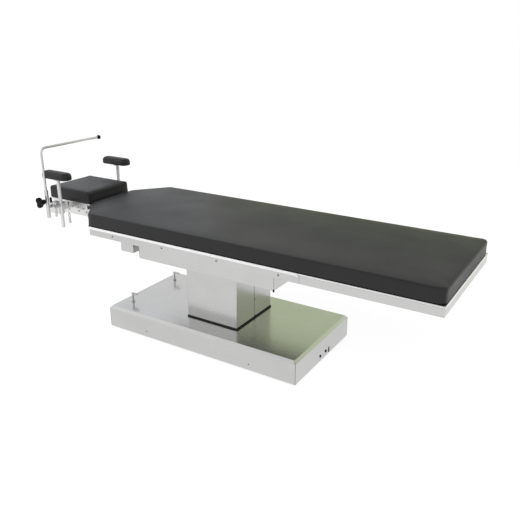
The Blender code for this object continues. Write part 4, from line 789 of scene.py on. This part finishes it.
def pad_shape(plan, radii, low, high, edge, pull, spacing):
    """Box pad: tight lower edge, sides pulled in a little, round upper edge, top meeting in a ridge."""
    outline = [Vector(point) for point in dense_outline(plan, radii, spacing)]
    middle = (low + high) / 2
    half = (high - low) / 2
    reach = min(half.x, half.y)
    inward = []
    for index in range(len(outline)):
        along = (outline[(index + 1) % len(outline)] - outline[index - 1]).normalized()
        inward.append(Vector((-along.y, along.x)))
    shoulder = high.z - edge
    levels = [(PAD_FOOT, low.z), (PAD_FOOT * 0.25, low.z + PAD_FOOT)]
    wall = shoulder - low.z - PAD_FOOT
    for share in PAD_SIDE_SHARES:
        levels.append((pull * math.sin(math.pi * share), low.z + PAD_FOOT + wall * share))
    for angle in PAD_EDGE_ANGLES:
        turn = math.radians(angle)
        levels.append((edge * (1 - math.cos(turn)), shoulder + edge * math.sin(turn)))
    rings = []
    for inset, z in levels:
        ring = []
        for point, way in zip(outline, inward):
            moved = point + way * inset
            ring.append((moved.x, moved.y, z))
        rings.append(ring)

    def drawn_to_ridge(rim, share):
        ring = []
        for x, y, z in rim:
            ridge = min(max(x, low.x + reach), high.x - reach)
            ring.append((x + (ridge - x) * share, y + (middle.y - y) * share, z))
        return ring

    steps = max(round((reach - edge) / spacing), 3)
    underside = [drawn_to_ridge(rings[0], share) for share in (1.0, 0.5)]
    top = [drawn_to_ridge(rings[-1], step / steps) for step in range(1, steps + 1)]
    points, faces = skinned(underside + rings + top)
    return points, faces[:-2]


def inflated(piece, low, cap):
    """Cloth under pressure with its underside held; no point moves further than cap."""
    start = [vertex.co.copy() for vertex in piece.data.vertices]
    held = piece.vertex_groups.new(name="held")
    held.add([index for index, place in enumerate(start) if place.z < low.z + 2 * PAD_FOOT], 1.0, "REPLACE")
    cloth = piece.modifiers.new("padding", "CLOTH")
    cloth.settings.quality = CLOTH_QUALITY
    cloth.settings.mass = CLOTH_MASS
    cloth.settings.bending_stiffness = CLOTH_BENDING
    cloth.settings.use_pressure = True
    cloth.settings.uniform_pressure_force = SIM_PRESSURE
    cloth.settings.effector_weights.gravity = 0.0
    cloth.settings.vertex_group_mass = held.name
    cloth.point_cache.frame_end = SIM_FRAMES
    cloth.collision_settings.use_collision = False
    for step in range(1, SIM_FRAMES + 1):
        scene.frame_set(step)
    baked(piece)
    scene.frame_set(1)
    for vertex, place in zip(piece.data.vertices, start):
        move = vertex.co - place
        if move.length > LEAST_MOVE:
            move *= cap * (1 - math.exp(-move.length / cap)) / move.length
        vertex.co = place + move
        vertex.co.z = max(vertex.co.z, low.z)


def make_pad(node, plan, radii, edge, pull, spacing, cap, fill):
    """Leatherette pad in the node's space, filled out by a cloth simulation."""
    low, high = box_ends(node)
    top = high.copy()
    top.z -= cap
    shape = pad_shape(plan, radii, low, top, edge, pull, spacing)
    piece = make_piece(node + "_pad", shape, "black_leatherette", carriers[node], node)
    set_right(piece.data, PAD_WELD)
    inflated(piece, low, cap)
    refined = piece.modifiers.new("refined", "SUBSURF")
    refined.levels = 1
    baked(piece)
    piece.data.shade_smooth()


def box_plan(node):
    """The four plan corners of a node's box."""
    low, high = box_ends(node)
    return [(low.x, low.y), (high.x, low.y), (high.x, high.y), (low.x, high.y)]


def mattress_plan():
    """Six-cornered plan with the tapered head end."""
    low, high = box_ends("mattress")
    half = MATTRESS_HEAD_WIDTH / 2
    taper = low.x + MATTRESS_TAPER
    near = [(low.x, -half), (taper, low.y), (high.x, low.y)]
    return near + [(x, -y) for x, y in reversed(near)]


# Fasteners
def screw(place, axis, size):
    """Button-head screw with a hexagon socket."""
    radius, height = size
    profile = [
        (radius, -SUNK),
        (radius, height * 0.3),
        (radius * 0.88, height * 0.72),
        (radius * 0.62, height),
        (radius * 0.48, height),
        (radius * 0.46, height * 0.3),
    ]
    return turned(profile, place, axis, SCREW_SIDES, radius * 0.47)


def make_screws(name, places, size, body):
    """Steel button heads, each with a black filling in its socket that is painted shade, at pairs of place
    and axis.
    """
    radius, height = size
    heads = [screw(place, axis, size) for place, axis in places]
    wide = radius * 0.72
    # Black filling in each socket: painted shade
    socket_shade_profile = [(wide, height * 0.25), (wide, height * 1.02), (radius * 0.40, height * 0.80)]
    socket_shades = [turned(socket_shade_profile, place, axis, SOCKET_SHADE_SIDES) for place, axis in places]
    make_piece(name, merged(*heads), "zinc_steel", body)
    make_piece(name + "_sockets", merged(*socket_shades), "black_plastic", body)


def both_faces(low, high, places, level):
    """Pairs of place and axis on a box's near and far face."""
    pairs = []
    for x in places:
        pairs += [((x, low.y, level), NEAR), ((x, high.y, level), FAR)]
    return pairs


def hex_bolt(place, axis, size):
    """Hexagon head on a round washer."""
    radius, height = size
    rim = radius * 1.3
    washer = [(rim, -SUNK), (rim, WASHER_THICKNESS * 0.7), (radius * 1.2, WASHER_THICKNESS)]
    head = [(radius, WASHER_THICKNESS), (radius, height * 0.8), (radius * 0.86, height)]
    return merged(turned(washer, place, axis, SCREW_SIDES), turned(head, place, axis, HEXAGON))


# Head section
def make_screen_rod():
    """Bent chrome rod and the ball on its tip."""
    low, high, middle = corners("screen_rod")
    radius = (high.x - low.x) / 2
    upright = low.y + radius
    level = high.z - radius
    path = [(middle.x, upright, low.z), (middle.x, upright, low.z + ROD_CHAMFER)]
    bend = arc((upright + ROD_BEND, level - ROD_BEND), ROD_BEND, 180, 90, ROD_BEND_STEPS)
    path += [(middle.x, y, z) for y, z in bend]
    path.append((middle.x, high.y, level))
    radii = [radius] * len(path)
    radii[0] = radius * 0.75
    make_piece("screen_rod_bar", swept(path, radii), "chrome", "screen", "screen_rod")
    low, high, middle = corners("rod_ball")
    radius = (high.x - low.x) / 2
    centre = Vector((middle.x, high.y - radius, middle.z))
    profile = [
        (BALL_COLLAR_RADIUS - 0.0012, -radius - 0.0008),
        (BALL_COLLAR_RADIUS - 0.0002, -radius - 0.0002),
        (BALL_COLLAR_RADIUS, -radius * 0.8),
    ]
    for angle in range(46, 179, 12):
        turn = math.radians(angle)
        profile.append((radius * math.sin(turn), -radius * math.cos(turn)))
    make_piece("rod_end_ball", turned(profile, centre, FAR), "black_plastic", "screen", "rod_ball")


def make_star_knob():
    """Three-lobed knob with soft edges and a boss, and its chrome shank."""
    low, high = box_ends("star_knob")
    x = corners("rod_holder")[2].x
    outer = low.y
    inner = low.y + KNOB_THICKNESS
    steps = KNOB_LOBES * KNOB_LOBE_POINTS
    outline = []
    for index in range(steps):
        angle = 2 * math.pi * index / steps
        swell = 0.5 + 0.5 * math.cos(KNOB_LOBES * (angle - KNOB_TURN))
        radius = KNOB_WAIST + (KNOB_RADIUS - KNOB_WAIST) * swell**0.8
        outline.append((radius * math.cos(angle), radius * math.sin(angle)))
    levels = [(outer + depth, share) for depth, share in KNOB_EDGE]
    levels += [(inner - depth, share) for depth, share in reversed(KNOB_EDGE)]
    head = skinned([[(x + share * a, y, KNOB_Z + share * b) for a, b in outline] for y, share in levels])
    boss = [
        (KNOB_BOSS_RADIUS * 1.15, -0.002),
        (KNOB_BOSS_RADIUS, 0.002),
        (KNOB_BOSS_RADIUS, KNOB_BOSS_LENGTH - 0.0015),
        (KNOB_BOSS_RADIUS - 0.0012, KNOB_BOSS_LENGTH),
    ]
    place = (x, inner, KNOB_Z)
    grip = merged(head, turned(boss, place, FAR))
    make_piece("knob_grip", grip, "black_plastic", "star_knob", "star_knob")
    reach = high.y - inner
    shank = [
        (KNOB_SHANK_RADIUS, KNOB_BOSS_LENGTH - 0.002),
        (KNOB_SHANK_RADIUS, reach - 0.001),
        (KNOB_SHANK_RADIUS - 0.001, reach),
    ]
    make_piece("knob_shank", turned(shank, place, FAR), "chrome", "star_knob")


def make_wrist_post(side):
    """Matt chrome post with a chamfered foot and a filleted flange."""
    node = "wrist_post_" + side
    low, high, middle = corners(node)
    flange = (high.x - low.x) / 2
    tall = high.z - low.z
    profile = [
        (POST_RADIUS * 0.8, 0.0),
        (POST_RADIUS, 0.0015),
        (POST_RADIUS, tall - 0.012),
        (POST_RADIUS * 1.15, tall - 0.007),
        (POST_RADIUS * 1.6, tall - 0.0042),
        (flange - CHAMFER, tall - 0.0038),
        (flange, tall - 0.0030),
        (flange, tall - CHAMFER),
        (flange - CHAMFER, tall),
    ]
    foot = (middle.x, middle.y, low.z)
    post = make_piece(node + "_bar", turned(profile, foot), "chrome", node, node)
    post.data.materials[0] = matt_chrome


def make_clamp_bolt():
    """Stud with a domed cap nut."""
    low, high, middle = corners("clamp_bolt")
    cap = (high.x - low.x) / 2
    tall = high.z - low.z
    cap_foot = tall - BOLT_CAP_HEIGHT
    side_top = cap_foot + BOLT_CAP_SIDE
    profile = [
        (BOLT_RADIUS * 0.75, 0.0),
        (BOLT_RADIUS, 0.0012),
        (BOLT_RADIUS, cap_foot),
        (cap - CHAMFER, cap_foot),
        (cap, cap_foot + CHAMFER),
    ]
    for angle in range(0, 91, 15):
        turn = math.radians(min(angle, 86))
        profile.append((cap * math.cos(turn), side_top + (tall - side_top) * math.sin(turn)))
    foot = (middle.x, middle.y, low.z)
    make_piece("clamp_stud", turned(profile, foot), "chrome", "clamp_bolt", "clamp_bolt")


def make_lever(side, way, face_way):
    """Chrome lever on a stub, with a black grip and a pivot screw."""
    node = "clamp_lever_" + side
    low, high, middle = corners(node)
    pivot_z = low.z + LEVER_RADIUS if way > 0 else high.z - LEVER_RADIUS
    tip_z = high.z - LEVER_TIP_RADIUS if way > 0 else low.z + LEVER_TIP_RADIUS
    outer = low.y if face_way < 0 else high.y
    inner = high.y if face_way < 0 else low.y
    back = outer - face_way * LEVER_THICKNESS
    start = 180 if way > 0 else 0

    def bar_plan(from_z, from_radius, to_z, to_radius):
        def plan(inset):
            first = arc((middle.x, from_z), from_radius - inset, start, start + 180, LEVER_STEPS)
            return first + arc((middle.x, to_z), to_radius - inset, start + 180, start + 360, LEVER_STEPS)

        return plan

    def place(point, level):
        return (point[0], level, point[1])

    axis = (0.0, face_way, 0.0)
    nearest, farthest = sorted((outer, back))
    arm_plan = bar_plan(pivot_z, LEVER_RADIUS, tip_z, LEVER_TIP_RADIUS - LEVER_INSET)
    arm = slab(arm_plan, nearest + LEVER_INSET, farthest - LEVER_INSET, LEVER_EDGE, place)
    grip_foot = tip_z - way * (LEVER_GRIP_LENGTH - 2 * LEVER_TIP_RADIUS)
    grip_plan = bar_plan(grip_foot, LEVER_TIP_RADIUS, tip_z, LEVER_TIP_RADIUS)
    grip = slab(grip_plan, nearest, farthest, LEVER_GRIP_EDGE, place)
    stub = [(LEVER_STUB_RADIUS, 0.0), (LEVER_STUB_RADIUS, LEVER_STUB_LENGTH)]
    steel = merged(arm, turned(stub, (middle.x, inner, pivot_z), axis, SCREW_SIDES))
    make_piece(node + "_arm", steel, "chrome", node, node)
    make_piece(node + "_grip", grip, "black_plastic", node)
    screw_place = (middle.x, outer - face_way * LEVER_INSET, pivot_z)
    make_screws(node + "_screw", [(screw_place, axis)], LEVER_SCREW, node)


def make_lock_screw():
    """Lock screw with a ring handle and a tapered grip below it."""
    low, high, middle = corners("slide_lock_screw")
    reach = LOCK_RING_RADIUS + LOCK_RING_WIRE
    ring_z = low.z + LOCK_RING_RISE
    ring_top = ring_z + reach
    step = 360 / LOCK_RING_POINTS
    circle = arc((middle.x, ring_z), LOCK_RING_RADIUS, 0, 360 - step, LOCK_RING_POINTS - 1)
    ring = [(x, middle.y, z) for x, z in circle]
    stem = [
        (LOCK_SCREW_RADIUS, ring_top - 0.0025),
        (LOCK_SCREW_RADIUS, high.z - 0.001),
        (LOCK_SCREW_RADIUS - 0.0013, high.z),
    ]
    collar = [
        (LOCK_COLLAR_RADIUS, ring_top - 0.001),
        (LOCK_COLLAR_RADIUS, ring_top + 0.004),
        (LOCK_COLLAR_RADIUS - 0.0008, ring_top + 0.005),
    ]
    grip_top = ring_z - reach + 0.0025
    grip = [
        (0.0045, low.z),
        (0.0068, low.z + 0.0010),
        (0.0074, low.z + 0.0030),
        (0.0070, low.z + 0.0100),
        (0.0056, grip_top - 0.0060),
        (0.0044, grip_top),
    ]
    foot = (middle.x, middle.y, 0.0)
    round_parts = [turned(part, foot) for part in (stem, collar, grip)]
    shape = merged(swept(ring, LOCK_RING_WIRE, LOCK_WIRE_SIDES, True), *round_parts)
    make_piece("lock_screw_handle", shape, "chrome", "slide_lock_screw", "slide_lock_screw")


def make_head_bolts():
    """Hexagon bolts along the carriage, and button screws in the head plate's turned-down edges."""
    low, high = box_ends("head_carriage")
    places = both_faces(low, high, CARRIAGE_BOLT_PLACES, corners("slide_bar_near")[2].z)
    heads = [hex_bolt(place, axis, CARRIAGE_BOLT) for place, axis in places]
    make_piece("carriage_bolts", merged(*heads), "chrome", "head")
    low, high = box_ends("head_plate")
    places = both_faces(low, high, FLANGE_SCREW_PLACES, low.z + FLANGE_SCREW_RISE)
    make_screws("head_plate_screws", places, FLANGE_SCREW, "head_rest")


# Frame
def upright_strip(x, y, low, high, radius):
    """Thin upright strip between two levels."""
    return swept([(x, y, low), (x, y, high)], radius, STRIP_SIDES)


def lip(stations):
    """Bright edge strip through stations of plan point, level, outward direction and size."""
    rings = []
    for (x, y), level, (out_x, out_y), size in stations:
        ring = []
        for out, rise in LIP_SECTION:
            ring.append((x + out_x * out * size, y + out_y * out * size, level + rise * size))
        rings.append(ring)
    return skinned(rings)


def make_rail_fittings():
    """Rail screws, and a bright lip along each rail that goes on thinner round the foot end."""
    low, high = box_ends("side_rail_near")
    level = high.z - LIP_DROP
    places = []
    lips = []
    for side, face in ((-1, NEAR), (1, FAR)):
        outer = -side * low.y
        places += [((x, outer, RAIL_SCREW_Z), face) for x in RAIL_SCREW_PLACES]
        stations = [((low.x, outer), level, (0, side), 1.0)]
        stations += [((high.x - back, outer), level, (0, side), size) for back, size in LIP_END]
        lips.append(lip(stations))
    make_screws("rail_screws", places, RAIL_SCREW, "table")
    rail_end = high.x - EDGE_LIP_OVERLAP
    low, high = box_ends("side_beam_near")
    half = -low.y
    turns = [
        (rail_end, -half, (0, -1)),
        (high.x, -half, (1, -1)),
        (high.x, half, (1, 1)),
        (rail_end, half, (0, 1)),
    ]
    stations = [((x, y), level + EDGE_LIP_RISE, out, EDGE_LIP_SHARE) for x, y, out in turns]
    strips = make_piece("frame_lips", merged(*lips, lip(stations)), "chrome", "table")
    # The lips' extra-light chrome is a painted highlight
    strips.data.materials[0] = painted_highlight_chrome


def make_housing_fittings():
    """Rubber caps under the housing's foot corners, and grey strips along its upright edges that are
    painted shade.
    """
    low, high = box_ends("mechanism_housing")
    upright_strips = []
    for x in (low.x + STRIP_INSET, high.x - STRIP_INSET):
        for y in (low.y + STRIP_INSET, high.y - STRIP_INSET):
            upright_strips.append(upright_strip(x, y, low.z + STRIP_INSET, high.z - STRIP_INSET, SHADE_STRIP_RADIUS))
    caps = []
    for y in (low.y + BUMPER_INSET, high.y - BUMPER_INSET):
        caps.append(turned(BUMPER_PROFILE, (high.x - BUMPER_INSET, y, low.z), UP, BUMPER_SIDES))
    make_piece("housing_corner_caps", merged(*caps), "black_rubber", "table")
    # Grey edge strips: painted shade
    make_piece("housing_corner_shade", merged(*upright_strips), "painted_steel", "table")


# Base
def make_pedal(side):
    """Floor-lock plunger with a ribbed tread."""
    node = "pedal_" + side
    low, high, middle = corners(node)
    foot_radius = (high.y - low.y) / 2
    tread_low = high.z - TREAD_THICKNESS
    stem_x = low.x + foot_radius
    half_width = TREAD_HALF_WIDTH

    def plan(inset):
        first = (stem_x - half_width, middle.y - half_width)
        return rounded_plan(first, (high.x, middle.y + half_width), TREAD_CORNER, inset)

    def place(point, level):
        return (point[0], point[1], level)

    tread_top = high.z - TREAD_RIB_SINK
    tread = slab(plan, tread_low, tread_top, TREAD_EDGE, place)
    stem = [(PEDAL_STEM_RADIUS, PEDAL_PAD_HEIGHT - 0.002), (PEDAL_STEM_RADIUS, tread_low - low.z)]
    pad = [
        (foot_radius - 0.003, 0.0),
        (foot_radius, 0.003),
        (foot_radius, PEDAL_PAD_HEIGHT - 0.003),
        (foot_radius - 0.002, PEDAL_PAD_HEIGHT),
        (PEDAL_STEM_RADIUS + 0.002, PEDAL_PAD_HEIGHT),
    ]
    foot = (stem_x, middle.y, low.z)
    steel = merged(tread, turned(stem, foot), turned(PEDAL_COLLAR, (stem_x, middle.y, tread_low)))
    make_piece(node + "_plunger", steel, "brushed_steel", node, node)
    make_piece(node + "_foot", turned(pad, foot), "black_rubber", node)
    ribs = []
    pitch = (high.x - stem_x - TREAD_RIB_MARGIN) / TREAD_RIBS
    for index in range(TREAD_RIBS):
        x = stem_x + TREAD_RIB_START + pitch * index
        tips = [(x, middle.y + way * (half_width - TREAD_RIB_INSET), tread_top) for way in (-1, 1)]
        ribs.append(swept(tips, TREAD_RIB_RADIUS, STRIP_SIDES))
    make_piece(node + "_ribs", merged(*ribs), "brushed_steel", node)


def make_socket(side):
    """Round black socket with a raised rim and a pin in its middle."""
    node = "socket_" + side
    low, high, middle = corners(node)
    rim = (high.y - low.y) / 2 - SOCKET_RIM_INSET
    face = high.x - SOCKET_FACE_INSET
    body = rim - 0.0012
    profile = [
        (body, low.x - face),
        (body, -0.0026),
        (rim - 0.0004, -0.0026),
        (rim, -0.0020),
        (rim, -0.0008),
        (rim - 0.0008, 0.0),
        (rim - 0.0018, 0.0),
        (rim - 0.0024, -0.0012),
        (SOCKET_PIN_RADIUS, -0.0012),
        (SOCKET_PIN_RADIUS - 0.0006, -0.0002),
    ]
    shape = turned(profile, (face, middle.y, middle.z), FOOT)
    make_piece(node + "_cap", shape, "black_plastic", "base", node)


def make_notch_shade_sheet():
    """Black sheet behind the cable notch in the base's foot face: painted shade that makes the notch read
    dark.
    """
    low, high = box_ends("base_cover")

    def plan(inset):
        half = NOTCH_WIDTH / 2 + NOTCH_SHADE_MARGIN
        top = (NOTCH_Y + half, low.z + NOTCH_HEIGHT + NOTCH_SHADE_RISE)
        return rounded_plan((NOTCH_Y - half, low.z), top, NOTCH_SHADE_CORNER, inset)

    def place(point, level):
        return (level, point[0], point[1])

    face = high.x - NOTCH_WALL
    # The sheet is painted shade inside the notch
    notch_shade = slab(plan, face - NOTCH_SHADE_THICKNESS, face, NOTCH_SHADE_EDGE, place)
    make_piece("notch_shade_sheet", notch_shade, "black_rubber", "base")


def make_wheel(end, side):
    """Castor wheel: rubber tyre on a grey moulded hub."""
    node = "castor_wheel_" + end + "_" + side
    low, high, middle = corners(node)
    radius = (high.z - low.z) / 2
    half = (high.y - low.y) / 2
    tyre = [
        (radius * 0.64, half * 0.86),
        (radius * 0.88, half),
        (radius * 0.96, half * 0.90),
        (radius * 0.993, half * 0.62),
        (radius, half * 0.30),
    ]
    hub = [
        (WHEEL_BORE_RADIUS, half * 0.95),
        (WHEEL_BOSS_RADIUS, half * 0.95),
        (WHEEL_BOSS_RADIUS + 0.0025, half * 0.70),
        (radius * 0.60, half * 0.58),
        (radius * 0.645, half * 0.84),
    ]
    tyre += [(across, -depth) for across, depth in reversed(tyre)]
    hub += [(across, -depth) for across, depth in reversed(hub)]
    body = carriers[node]
    make_piece(node + "_tyre", turned(tyre, middle, FAR, through=True), "black_rubber", body, node)
    make_piece(node + "_hub", turned(hub, middle, FAR, through=True), "grey_plastic", body)


def make_base_fittings():
    """Screws in the base cover's long faces, and a dark seam strip up each corner."""
    low, high = box_ends("base_cover")
    places = both_faces(low, high, BASE_SCREW_PLACES, BASE_SCREW_Z)
    make_screws("base_screws", places, BASE_SCREW, "base")
    upright_strips = []
    for x in (low.x + STRIP_INSET, high.x - STRIP_INSET):
        for y in (low.y + STRIP_INSET, high.y - STRIP_INSET):
            upright_strips.append(upright_strip(x, y, low.z, low.z + BASE_SEAM_HEIGHT, SEAM_RADIUS))
    make_piece("base_corner_seams", merged(*upright_strips), "black_rubber", "base")


def make_column_fittings():
    """Screws beside the joint of the column cover's halves, and black strips in the joint's gap that are
    painted shade.
    """
    low, high = box_ends("column_cover_far")
    screws = []
    for z in COLUMN_SCREW_LEVELS:
        screws.append(screw((high.x, COLUMN_SCREW_Y, z), FOOT, COLUMN_SCREW))
        screws.append(screw((low.x, COLUMN_SCREW_Y, z), HEAD, COLUMN_SCREW))
    make_piece("column_screws", merged(*screws), "black_plastic", "base")
    joint_y = (low.y + box_ends("column_cover_near")[1].y) / 2
    joint_shades = []
    for x in (low.x + JOINT_SHADE_INSET, high.x - JOINT_SHADE_INSET):
        joint_shades.append(upright_strip(x, joint_y, low.z + JOINT_SHADE_FOOT, high.z - STRIP_INSET, SHADE_STRIP_RADIUS))
    # Joint strips: painted shade
    make_piece("column_joint_shade", merged(*joint_shades), "black_rubber", "base")


make_pad("mattress", mattress_plan(), MATTRESS_CORNERS, *MATTRESS_PAD)
make_pad("head_cushion", box_plan("head_cushion"), CUSHION_CORNERS, *CUSHION_PAD)
for side in ("near", "far"):
    rest = "wrist_rest_" + side
    make_pad(rest, box_plan(rest), REST_CORNERS, *REST_PAD)
    make_wrist_post(side)
    make_pedal(side)
    make_socket(side)
    for end in ("head", "foot"):
        make_wheel(end, side)
make_screen_rod()
make_star_knob()
make_clamp_bolt()
make_lever("near", 1, -1)
make_lever("far", -1, 1)
make_lock_screw()
make_head_bolts()
make_rail_fittings()
make_housing_fittings()
make_notch_shade_sheet()
make_base_fittings()
make_column_fittings()

make_camera()
make_world()
make_floor()
make_wall()
make_lamp("key", KEY_PLACE, KEY_SIZE, KEY_POWER, False)
make_lamp("fill", FILL_PLACE, FILL_SIZE, FILL_POWER, True)

for subpart in frame["record"]["subparts"]:
    node = nodes[subpart["node"]]
    node.data.materials.clear()
    # The listed head parts get the lighter steel copy, a painted highlight
    bright = subpart["node"] in PAINTED_HIGHLIGHT_NODES
    node.data.materials.append(painted_highlight_steel if bright else finishes[subpart["material_slot"]])
